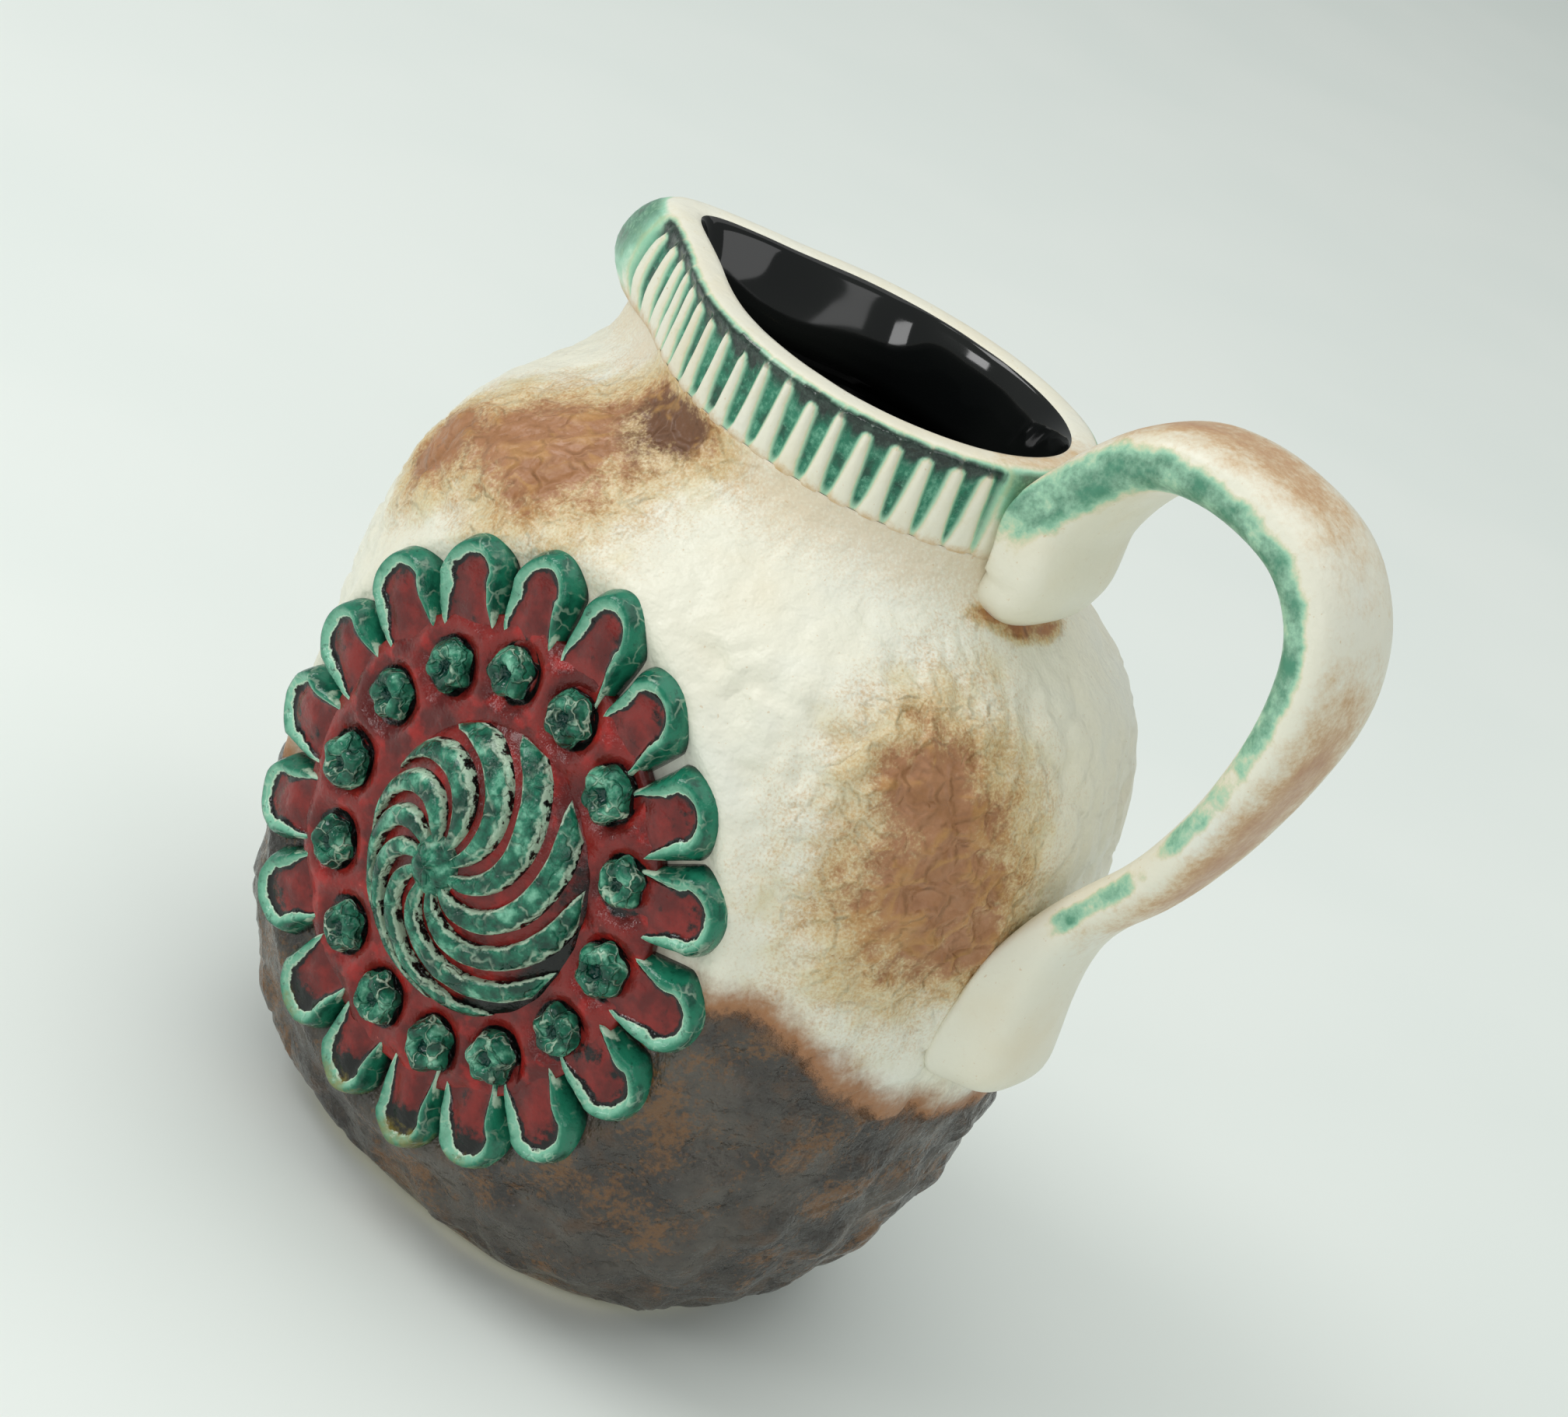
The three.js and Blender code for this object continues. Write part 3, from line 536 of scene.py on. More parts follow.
def petal_glaze():
    glaze = Glaze("petal_glaze")
    cloud = glaze.noise(6, 4, 0.6)
    ragged = glaze.noise(2.8, 4, 0.65)
    inset = glaze.mark("inset", (ragged, 1.6), (cloud, 1.2))
    # Green rim, darker green along its middle, with pale veins
    green = glaze.layers(DEEP_GREEN, (GREEN, inset, 1.3, 2.4))
    darker_middle = glaze.times(glaze.step(inset, 2.0, 2.9), glaze.step(inset, 4.0, 3.2))
    darker_middle = glaze.times(darker_middle, glaze.step(cloud, 0.4, 0.62, 0, 0.8))
    green = glaze.layers(glaze.mix(darker_middle, green, DEEP_GREEN), (MINT, inset, 3.6, 5.2, 0.85))
    veins = glaze.step(glaze.cracks(4.2, 3.0, 4.0), 0.08, 0.01)
    veins = glaze.times(veins, glaze.step(cloud, 0.45, 0.6, 0, 0.3))
    green = glaze.mix(veins, green, PALE_MINT)
    # Red middle with soot
    low, tip = glaze.attribute("low"), glaze.attribute("tip")
    soot_and_shade = glaze.sum((ragged, 0.8), (glaze.noise(9, 3), 0.9), (tip, 0.22), (low, 0.4))
    red = glaze.layers(DEEP_RED, (RED, cloud, 0.36, 0.66), (BLACK, soot_and_shade, 0.98, 1.16))
    margin = glaze.sum((inset, 1.0), (glaze.noise(3.6, 3), -2.4))
    colour = glaze.layers(
        green, (DEEP_GREEN, glaze.noise(2.0, 4, 0.7), 0.56, 0.72, 0.7), (PALE_MINT, inset, 5.1, 5.3, 0.75),
        (BLACK, inset, 5.35, 5.5), (red, margin, 4.7, 5.3),
        (PALE_MINT, glaze.mark("side", (ragged, 1.2)), 1.35, 1.6, 0.7),
        (OLIVE, glaze.sum((low, 1.0), (ragged, 0.8)), 1.2, 1.5, 0.7),
        (ROOT_GREEN, glaze.attribute("inset"), 0.35, 0.05))
    rough = glaze.step(ragged, 0.3, 0.7, 0.08, 0.22)
    return glaze.finish(colour, rough, glaze.sum((ragged, 0.7), (cloud, 1.0)), 0.35, 0.4)


def red_glaze(name, shade_low, shade_high):
    glaze = Glaze(name)
    cloud = glaze.noise(9, 4, 0.6)
    ragged = glaze.noise(2.6, 4, 0.65)
    # Deep red with brighter patches and chips. The black, where the mark runs high, is painted shade: in the
    # pits round the beads and on one side of the boss.
    colour = glaze.layers(
        DEEP_RED, (RED, cloud, 0.38, 0.6), (BRIGHT_RED, glaze.noise(5, 3), 0.5, 0.7, 0.8),
        (BLACK, glaze.mark("soot_and_shade", (ragged, 0.7), (cloud, 0.3)), shade_low, shade_high),
        (CHIPPED_RED, glaze.noise(1.6, 2), 0.74, 0.79, 0.7))
    rough = glaze.step(ragged, 0.3, 0.7, 0.1, 0.24)
    return glaze.finish(colour, rough, glaze.sum((ragged, 0.8), (cloud, 1.0)), 0.5, 0.4)


def arm_glaze():
    glaze = Glaze("arm_glaze")
    green, veins, cloud = crackled_green(glaze, 5.5, 0.4)
    ragged = glaze.noise(2.4, 4, 0.65)
    edge = glaze.mark("edge", (ragged, 1.1))
    colour = glaze.layers(green, (PALE_MINT, edge, 1.2, 1.4, 0.65), (BLACK, edge, 1.5, 1.58))
    height = glaze.sum((ragged, 0.8), (glaze.step(veins, 0.0, 0.12), 0.6))
    return glaze.finish(colour, glaze.step(cloud, 0.3, 0.7, 0.1, 0.22), height, 0.45, 0.4)


def bead_glaze():
    glaze = Glaze("bead_glaze")
    green, veins, cloud = crackled_green(glaze, 3.6, 0.7)
    crater = glaze.mark("crater", (glaze.noise(1.5, 3), 0.4))
    skirt = glaze.mark("skirt", (glaze.noise(2.0, 3), 0.7))
    colour = glaze.layers(green, (CRATER_GREEN, crater, 0.75, 1.0, 0.9), (BLACK, skirt, 0.95, 1.1))
    height = glaze.sum((glaze.step(veins, 0.0, 0.14), -1.0), (cloud, 0.6))
    return glaze.finish(colour, glaze.step(cloud, 0.3, 0.7, 0.1, 0.22), height, 0.4, 0.4)


# Body: where brown is sponged on, as angle, height, half width in degrees and half height
SPONGED = [
    (-121, 152, 26, 19), (-113, 166, 26, 9), (-136, 139, 13, 16),
    (-27, 123, 23, 31), (-32, 138, 17, 17), (-17, 112, 14, 16),
    (95, 140, 20, 22), (140, 112, 18, 23),
    (-15, 161.8, 10, 1.8), (-5, 160.2, 11, 1.7), (6, 159.8, 11, 1.7),
]
# Noise on the dark foot's upper edge: rise, size, seed and layers
FOOT_EDGE = [(4.0, 30, 15, 2), (2.2, 9, 5, 3), (1.2, 3, 8, 2)]
FOOT_FADE = 22.0
# Rounding of the bottom edge: height and inset of each row
BOTTOM_EDGE = [(0, 2.4), (0.3, 1.0), (0.8, 0.3), (1.5, 0.0)]
BODY_SIDES = 336
BODY_ROWS = 186
WALL_START = 2.4
NECK_TOP = COLLAR_BOTTOM + 1.5
NECK_ROWS = 16
CAVITY_ROWS = 22
CAVITY_TOP = 142.0
CORNER_ROWS = 4
WARP_SIZE = 11
PLATE_SIZE = 11
RIDGE_SIZE = 6.5
GLAZE_FILLET = 2.6
FILLET_RADIUS = 58.0
FILLET_SPREAD = 4.2


def half_turned(angle):
    return np.mod(angle + math.pi, FULL_TURN) - math.pi


def foot_line(angle):
    climb = np.exp(-((half_turned(angle) - CRAG_CLIMB_ANGLE) / CRAG_CLIMB_SPREAD) ** 2)
    return BELLY_HEIGHT - CRAG_TOP_BELOW_BELLY + CRAG_TOP_CLIMB * climb


def from_rosette(angle, height):
    across = (half_turned(angle + math.pi / 2) * BODY_HALF_WIDTH - ROSETTE_SHIFT) / ROSETTE_SQUEEZE
    return np.hypot(across / ROSETTE_WIDE, (height - ROSETTE_HEIGHT - ROSETTE_LIFT) / ROSETTE_TALL)


def crag_lift(angle, height):
    beside = from_rosette(angle, height) - PETAL_TIP_RADIUS - CRAG_ROSETTE_CLEARANCE
    zone = smooth(height, 0, CRAG_FADE) * smooth(foot_line(angle) - height, 0, CRAG_FADE)
    waves = [np.sin(count * angle + climbing * height + start) for count, climbing, start in CRAG_WAVES]
    return CRAG_RISE * sum(waves) / len(waves) * zone * smooth(beside, 0, CRAG_FADE)


def body_marks(angle, height, points):
    degrees = np.degrees(half_turned(angle))
    sponge = np.full(angle.shape, -1.0)
    for centre, level, half_width, half_height in SPONGED:
        reach = np.hypot((degrees - centre) / half_width, (height - level) / half_height)
        sponge = np.maximum(sponge, 1.0 - reach)
    line = foot_line(angle)
    for rise, size, seed, layers in FOOT_EDGE:
        line = line + rise * layered_noise(points, size, seed, layers)
    return {
        "sponge": sponge,
        "foot": np.clip((line - height) / FOOT_FADE, -1, 1),
        "bare": smooth(height, 3.2, 0.8),
        "warm": np.maximum(smooth(height, 148, 169), 0.7 * smooth(sponge, -1.0, 0.0)),
        "smear": smooth(np.hypot((degrees + 112) / 17, (height - 165) / 9), 1.2, 0.3),
    }


# Unevenness of the wall: plates, grain and dents, ridges in the brown and crags on the dark foot
def wall_lumps(points, marks):
    broad = layered_noise(points, 24, 3, 2)
    warp = np.stack([layered_noise(points, WARP_SIZE, 40 + axis, 2) for axis in range(3)], -1)
    near, second = cell_noise((points + 4.5 * warp) / PLATE_SIZE, 9)
    plates = smooth(second - near, 0.0, 0.22)
    grain = layered_noise(points, 3.4, 21, 2)
    near, second = cell_noise((points + 3.2 * warp) / RIDGE_SIZE, 14)
    ridge = smooth(second - near, 0.34, 0.0) * smooth(layered_noise(points, 7, 71, 2), -0.45, 0.15)
    dents = smooth(layered_noise(points, 8, 61, 2), 0.12, 0.55)
    patchy = smooth(layered_noise(points, 30, 33, 2), -0.35, 0.3)
    lumps = 0.5 * broad + (0.3 + 0.45 * patchy) * (plates - 0.7) + 0.28 * grain - 0.95 * dents
    lumps = lumps + 0.8 * ridge * smooth(marks["sponge"], -0.2, 0.3)
    craggy = 0.3 * broad + 0.6 * (plates - 0.6) + 0.5 * layered_noise(points, 5.5, 55, 3)
    rough_zone = smooth(marks["foot"], -0.05, 0.1)
    return lumps * (1 - rough_zone) + craggy * rough_zone, ridge


def body_inside():
    corner = FLOOR + CAVITY_CORNER
    neck = even(NECK_TOP, SHOULDER_HEIGHT, NECK_ROWS)
    heights = np.concatenate([neck, even(CAVITY_TOP, corner, CAVITY_ROWS)])
    angle, height = np.meshgrid(all_round(BODY_SIDES), heights)
    neck_share = np.clip((height - SHOULDER_HEIGHT) / (COLLAR_BOTTOM - SHOULDER_HEIGHT), 0, 1)
    thickness = WALL + (RIM_WALL + THROAT - NECK_INSET - WALL - 0.2) * neck_share ** 2
    rows = wall_point(angle, np.minimum(height, COLLAR_BOTTOM), thickness)
    rows[..., 2] = height
    bottom = []
    for bend in even(1 / CORNER_ROWS, 1, CORNER_ROWS) * math.pi / 2:
        ring = wall_point(angle[0], corner, WALL + CAVITY_CORNER * (1 - math.cos(bend)))
        ring[:, 2] = FLOOR + CAVITY_CORNER * (1 - math.sin(bend))
        bottom.append(ring)
    return np.concatenate([rows, np.array(bottom)])


def body_piece():
    edge_heights, edge_insets = np.transpose(BOTTOM_EDGE)
    heights = np.concatenate([edge_heights, even(WALL_START, NECK_TOP, BODY_ROWS)])
    insets = np.concatenate([edge_insets, np.zeros(BODY_ROWS)])
    angle, height = np.meshgrid(all_round(BODY_SIDES), heights)
    rows = wall_point(angle, np.minimum(height, COLLAR_BOTTOM), np.repeat(insets[:, None], BODY_SIDES, 1))
    rows[..., 2] = height
    marks = body_marks(angle, height, rows)
    lift, marks["ridge"] = wall_lumps(rows, marks)
    reach = from_rosette(angle, height)
    open_wall = smooth(reach, 57, 66)
    zone = smooth(height, 1.5, 7) * (1 - 0.85 * smooth(height, 148, 164)) * smooth(height, 172, 166)
    fillet = GLAZE_FILLET * np.exp(-((reach - FILLET_RADIUS) / FILLET_SPREAD) ** 2)
    lift = lift * zone * open_wall + fillet * smooth(height, 12, 20) - 0.25 * (1 - open_wall)
    lift = lift + crag_lift(angle, height) + (NECK_INSET - 0.3) * smooth(height, 160, 169.5)
    rows = rows + grid_normals(rows) * lift[..., None]
    rows[:len(BOTTOM_EDGE), :, 2] = edge_heights[:, None]
    inside = body_inside()
    everything = np.concatenate([rows, inside])
    blank = np.zeros(inside.shape[:2])
    values = {}
    for key, mark in marks.items():
        values[key] = np.concatenate([mark, blank - 1 if key in ("sponge", "foot") else blank])
    piece = build("jug_body", everything, values, ((0, 0, 0), (0, 0, FLOOR)))
    coat(piece, body_glaze(), inside_glaze())
    slots = np.zeros(len(piece.data.polygons), np.int32)
    slots[(len(rows) - 1) * BODY_SIDES:] = 1
    # The underside's faces come after those of the walls
    slots[(len(everything) - 1) * BODY_SIDES:len(everything) * BODY_SIDES] = 0
    piece.data.polygons.foreach_set("material_index", slots)
    return piece


# Mouth collar's outer face: share of the height, share of the lip's bulge and how far the wall stands out
COLLAR_OUTSIDE = [
    (-0.03, 0.30, -2.6), (0.0, 0.36, -1.2), (0.04, 0.45, -0.4), (0.1, 0.6, -0.05), (0.18, 0.8, 0.1),
    (0.27, 0.95, 0.15), (0.36, 1.0, 0.15), (0.45, 0.98, 0.1), (0.54, 0.9, 0.1), (0.63, 0.8, 0.1),
    (0.72, 0.66, 0.1), (0.8, 0.5, 0.05), (0.87, 0.34, -0.1), (0.93, 0.18, -0.5), (0.97, 0.08, -1.1),
    (0.993, 0.02, -1.9), (1.0, 0.0, -2.8),
]
# Its inner face: out from the inner wall and up from the rim
COLLAR_INSIDE = [
    (2.0, 0.05), (0.7, -0.3), (0.1, -1.0), (-0.5, -2.2), (-1.0, -3.4), (-1.5, -4.8),
    (-2.1, -6.6), (-2.7, -8.8), (-3.3, -11.8), (-3.7, -15.2),
]
# What changes up the outer face: shares of the height and the values there
RIB_WIDTH = [0.0, 0.1, 0.3, 0.6, 0.8, 0.88], [0.86, 0.72, 0.56, 0.43, 0.34, 0.0]
GROOVE_DEPTH = [0.02, 0.06, 0.18, 0.82, 0.93], [0, 0.1, 1, 1, 0]
GROOVE_COLOUR_FOOT = [0.0, 0.05, 0.15, 1], [0, 0.1, 1, 1]
GROOVE_COLOUR_TOP = [0.9, 0.965, 0.98], [1, 0.7, 0]
BAND_DRIP = [0.5, 0.74, 0.85, 0.955, 0.985], [0, 0.55, 1, 0.95, 0]
RIM_STAIN = [0.93, 1.0], [0, 1]
FOOT_STAIN = [0, 0.04, 0.3], [1.0, 0.8, 0]
LIP_WASH = [0.0, 0.15, 0.5, 0.9, 0.97], [0.1, 0.55, 1, 0.9, 0]
HANDLE_WASH = [0.35, 0.65, 0.95, 1], [0, 0.8, 1.0, 0.2]
RIM_LINE = [0.955, 0.98, 0.995], [0, 1, 0]
FLUTE_STEPS = 14
TRACE_STEPS = 4000
COLLAR_WOBBLE = 0.18


def mouth_lengths():
    fine = np.arange(TRACE_STEPS + 1) / TRACE_STEPS * FULL_TURN
    trace = mouth_point(fine, 0.0, 0.0)
    steps = np.linalg.norm(np.diff(trace, axis=0), axis=1)
    return fine, np.concatenate([[0], np.cumsum(steps)]) / steps.sum()


def collar_piece():
    fine, share = mouth_lengths()
    stations = FLUTE_COUNT * FLUTE_STEPS
    station = np.arange(stations)
    angle = np.interp(station / stations, share, fine)
    phase = np.mod(station / FLUTE_STEPS + FLUTE_PHASE, 1.0)
    flute = np.floor(station / FLUTE_STEPS + FLUTE_PHASE + 0.5).astype(np.int64) % FLUTE_COUNT
    chance = lattice(flute, 3 * flute + 1, 7 + 0 * flute, 5)
    other = lattice(flute, 5 * flute + 2, 3 + 0 * flute, 8)
    off_rib = np.minimum(phase, 1 - phase) * 2 / (0.82 + 0.36 * chance)
    from_handle = np.minimum(angle, FULL_TURN - angle)
    from_lip = np.abs(angle - math.pi)
    fluted = smooth(from_handle, 0.40, 0.50) * smooth(from_lip, 0.20, 0.34)
    lip = lip_share(angle)
    rim = RIM_HEIGHT + RIM_SADDLE * np.cos(2 * angle)
    degrees = np.abs(np.degrees(half_turned(angle)))
    rim_stain = 0.7 * smooth(degrees, 60, 12)
    rows = []
    marks = {"groove": [], "band": [], "collar_foot": [], "wash": []}
    for level, bulge, set_out in COLLAR_OUTSIDE:
        rib = np.interp(level + 0.1 * (other - 0.5), *RIB_WIDTH)
        groove = smooth(off_rib, rib - 0.4, rib + 0.32) * fluted * np.interp(level, *GROOVE_DEPTH)
        out = LIP_BULGE * lip * bulge + set_out - FLUTE_DEPTH * groove
        height = COLLAR_BOTTOM + (rim - COLLAR_BOTTOM) * level - LIP_DROOP * lip * max(0.0, 1 - level * 2)
        rows.append(mouth_point(angle, out, height))
        colour = smooth(off_rib, rib - 0.2, rib + 0.26) * fluted * np.interp(level, *GROOVE_COLOUR_FOOT)
        marks["groove"].append(colour * np.interp(level, *GROOVE_COLOUR_TOP))
        drip = np.interp(level, *BAND_DRIP) * (0.7 + 0.45 * other)
        joined = np.maximum(smooth(off_rib, rib - 0.1, rib + 0.3), smooth(level, 0.8, 0.9))
        marks["band"].append(fluted * drip * joined)
        stain = rim_stain * np.interp(level, *RIM_STAIN)
        marks["collar_foot"].append(np.maximum(np.interp(level, *FOOT_STAIN), stain))
        near_lip = smooth(from_lip, 0.42, 0.12) * np.interp(level, *LIP_WASH)
        near_handle = smooth(degrees, 34, 18) * np.interp(level, *HANDLE_WASH)
        line = 0.75 * fluted * np.interp(level, *RIM_LINE)
        marks["wash"].append(np.maximum(np.maximum(near_lip, near_handle), line))
    inner = [(out - RIM_WALL, rim + up) for out, up in COLLAR_INSIDE]
    inner.append((-RIM_WALL - THROAT, COLLAR_BOTTOM))
    inner.append((-RIM_WALL + 1.5, COLLAR_BOTTOM - 0.3))
    for out, height in inner:
        rows.append(mouth_point(angle, out, height))
        for key, mark in marks.items():
            mark.append(rim_stain if key == "collar_foot" else 0 * angle)
    rows = np.array(rows)
    rows[..., 2] += layered_noise(rows, 12, 77, 2) * COLLAR_WOBBLE
    piece = build("jug_mouth_collar", rows, marks, looped=True)
    coat(piece, collar_glaze(), bpy.data.materials["inside_glaze"])
    slots = np.zeros((len(rows), stations), np.int32)
    slots[len(COLLAR_OUTSIDE) + 1:len(rows) - 1] = 1
    piece.data.polygons.foreach_set("material_index", slots.reshape(-1))
    return piece


# Smooth curve through stations, each a row of numbers, eased by the distance between them
def through(stations, shares):
    stations = np.asarray(stations, float)
    count = len(stations)
    result = []
    for share in shares:
        place = share * (count - 1)
        first = min(int(place), count - 2)
        weight = place - first
        before = stations[first - 1] if first > 0 else 2 * stations[0] - stations[1]
        after = stations[first + 2] if first + 2 < count else 2 * stations[-1] - stations[-2]
        a, b = stations[first], stations[first + 1]
        gaps = [max(np.linalg.norm((q - p)[:2]) ** 0.5, 1e-4) for p, q in ((before, a), (a, b), (b, after))]
        start = ((a - before) / gaps[0] - (b - before) / (gaps[0] + gaps[1]) + (b - a) / gaps[1]) * gaps[1]
        end = ((b - a) / gaps[1] - (after - a) / (gaps[1] + gaps[2]) + (after - b) / gaps[2]) * gaps[1]
        cube = 2 * a - 2 * b + start + end
        square = -3 * a + 3 * b - 2 * start - end
        result.append(a + start * weight + square * weight ** 2 + cube * weight ** 3)
    return np.array(result)


def strap_stations():
    pad_face = MOUTH_SHIFT + MOUTH_HALF_LENGTH + PAD_PROUD
    pad_middle = pad_face - PAD_HALF_THICKNESS
    apex = RIM_HEIGHT + HANDLE_RISE
    reach = BODY_HALF_WIDTH + HANDLE_REACH
    apex_across = pad_face + (reach - pad_face) * APEX_SHARE
    landing = float(barrel_half_width(LANDING_HEIGHT))
    drop = HANDLE_REACH_HEIGHT - LANDING_HEIGHT
    tail_middle = (LANDING_HEIGHT + TAIL_END) / 2

    def on_flank(height):
        return float(barrel_half_width(height)) + TAIL_PROUD - TAIL_HALF_THICKNESS

    pad = (PAD_HALF_THICKNESS, PAD_HALF_WIDTH)
    strap = (STRAP_HALF_THICKNESS, STRAP_HALF_WIDTH)
    slimmed = tuple(size * LOWER_BEND_SLIMMING for size in strap)
    low = (STRAP_LOW_HALF_THICKNESS, STRAP_LOW_HALF_WIDTH)
    tail = (TAIL_HALF_THICKNESS, TAIL_HALF_WIDTH)
    waist = tuple((a + b) / 2 for a, b in zip(low, tail))
    return [
        (pad_middle, PAD_FOOT, *pad),
        (pad_middle, (PAD_FOOT + RIM_HEIGHT) / 2, *pad),
        (pad_middle, RIM_HEIGHT - SPRING, *pad),
        (pad_face + SPRING, apex - SPRING, *strap),
        (apex_across, apex, *strap),
        (reach - BEND_LONG, apex - BEND_SHORT, *strap),
        (reach - BEND_SHORT, apex - BEND_LONG, *strap),
        (reach, HANDLE_REACH_HEIGHT, *strap),
        (reach - BEND_SHORT, HANDLE_REACH_HEIGHT - drop * LOWER_BEND_SHARE, *slimmed),
        (landing + SWOOP_PROUD, LANDING_HEIGHT + drop * SWOOP_SHARE, *low),
        (landing + LANDING_PROUD, LANDING_HEIGHT, *low),
        (on_flank(tail_middle), tail_middle, *waist),
        (on_flank(TAIL_END + TAIL_LOBE), TAIL_END + TAIL_LOBE, *tail),
        (on_flank(TAIL_END), TAIL_END, *(size / 2 for size in tail)),
    ]


# Handle's mesh, the easing of its landing and how deep its ends lie in the jug's wall
HANDLE_STEPS = 220
HANDLE_SIDES = 56
EASE_REACH = 24
EASE_SPREAD = 9.0
BURIED_DEPTH = 3.0
BURIED_IN_COLLAR = 3.5
HANDLE_WOBBLE = 0.18
# Green stripe: share of the length, middle and half width in degrees round the strap
STRIPE = np.array([
    (0.08, -48, 48), (0.12, -56, 54), (0.17, -78, 56), (0.24, -102, 56), (0.3, -112, 54),
    (0.45, -112, 46), (0.55, -114, 38), (0.65, -108, 32), (0.75, -96, 30),
])
# Shares of the length and how strong the stripe and the two brown patches are there
STRIPE_STRENGTH = (
    [0.085, 0.125, 0.3, 0.5, 0.57, 0.605, 0.62, 0.645, 0.665, 0.69, 0.75, 0.78],
    [0, 1.0, 1.0, 1.0, 0.85, 0.5, 0.75, 0.7, 0.3, 0.8, 0.75, 0],
)
CREST_BROWN = [0.14, 0.24, 0.33, 0.47], [0.2, 0.9, 0.85, 0]
FLANK_BROWN = [0.44, 0.57, 0.66, 0.79], [0, 1, 1, 0]


# The bend at the landing is rounded off; the rest of the strap keeps its line
def eased(line, shares):
    reach = np.arange(-EASE_REACH, EASE_REACH + 1)
    weight = np.exp(-(reach / EASE_SPREAD) ** 2)
    weight = weight / weight.sum()
    padded = np.concatenate([np.repeat(line[:1], EASE_REACH, 0), line, np.repeat(line[-1:], EASE_REACH, 0)])
    even_line = np.stack([np.convolve(column, weight, "valid") for column in padded.T], -1)
    share = (smooth(shares, 0.66, 0.76) * smooth(shares, 0.97, 0.88))[:, None]
    return line + (even_line - line) * share


def handle_marks(shares, around):
    turn = np.mod(np.degrees(around) + 180, 360) - 180

    def along(places, values):
        return np.interp(shares, places, values)[:, None]

    middle, half_width = along(STRIPE[:, 0], STRIPE[:, 1]), along(STRIPE[:, 0], STRIPE[:, 2])
    stripe = along(*STRIPE_STRENGTH) * smooth(np.abs(turn - middle) / half_width, 1.15, 0.35)
    crest = smooth(np.abs(turn + 4) / 76, 1.1, 0.0) * along(*CREST_BROWN)
    flank = smooth(np.abs(turn + 12) / 80, 1.1, 0.0) * along(*FLANK_BROWN)
    return {"stripe": stripe, "brown": np.maximum(crest, flank)}


def handle_piece():
    shares = even(0, 1, HANDLE_STEPS)
    line = eased(through(strap_stations(), shares), shares)
    tangent = np.gradient(line[:, :2], axis=0)
    tangent /= np.linalg.norm(tangent, axis=1, keepdims=True)
    outward = np.stack([-tangent[:, 1], 0 * tangent[:, 0], tangent[:, 0]], -1)
    around = all_round(HANDLE_SIDES)
    scale = squareness(around, STRAP_SQUARENESS)
    start_round = np.sqrt(np.clip(1 - (1 - smooth(shares, 0, 0.045)) ** 2, 0.02, 1))
    tail_round = np.sqrt(np.clip(smooth(1 - shares, 0, 0.03), 0.02, 1))
    thick = line[:, 2] * start_round * tail_round
    wide = line[:, 3] * start_round * tail_round
    thinned = PAD_THINNING * (1 - smooth(line[:, 1], PAD_FOOT - 2, PAD_FOOT + 15)) * (shares < 0.2)
    middle = np.stack([line[:, 0] - thinned, 0 * line[:, 0], line[:, 1]], -1)
    rows = middle[:, None] + outward[:, None] * (thick[:, None] * scale * np.cos(around))[..., None]
    rows[..., 1] = wide[:, None] * scale * np.sin(around)
    # What lies in the wall of the jug goes no deeper than a few millimetres
    flank = np.arctan2(rows[..., 1] * BODY_HALF_WIDTH / BODY_HALF_DEPTH, rows[..., 0])
    in_body = wall_point(flank, np.clip(rows[..., 2], 1, COLLAR_BOTTOM), BURIED_DEPTH)
    in_collar = mouth_point(flank, -BURIED_IN_COLLAR, 0.0)
    wall = np.where(
        rows[..., 2] < COLLAR_BOTTOM,
        np.linalg.norm(in_body[..., :2], axis=-1), np.linalg.norm(in_collar[..., :2], axis=-1),
    )
    radius = np.linalg.norm(rows[..., :2], axis=-1)
    proud = (radius - wall).max(1) - BURIED_DEPTH
    fillet = np.exp(-np.clip(radius - wall - BURIED_DEPTH, 0, None) / 4.0) * smooth(proud, 1.5, 8.0)[:, None]
    fillet = fillet * np.where(shares[:, None] < 0.3, smooth(rows[..., 2], 163, 174), 1.0)
    rows[..., 1] += FILLET * fillet * np.sign(rows[..., 1]) * smooth(np.abs(rows[..., 1]), 0, 9)
    radius = np.linalg.norm(rows[..., :2], axis=-1)
    buried = (radius < wall) & (rows[..., 2] < RIM_HEIGHT - 1.5) & (shares[:, None] > 0.012)
    rows[..., :2] *= np.where(buried, wall / np.maximum(radius, 1), 1)[..., None]
    rows += HANDLE_WOBBLE * layered_noise(rows, 14, 91, 2)[..., None] * outward[:, None]
    poles = (rows[0].mean(0), rows[-1].mean(0))
    piece = build("jug_handle", rows, handle_marks(shares, around), poles)
    coat(piece, handle_glaze())
    return piece


# Copies of one form round the rosette's centre, made by rule with a fixed seed
RING_INPUTS = [
    ("Count", "Int"), ("Ring Radius", "Float"), ("Turn Jitter", "Float"), ("Spin Jitter", "Float"),
    ("Size Jitter", "Float"), ("Seed", "Int"), ("Glaze", "Material"),
]


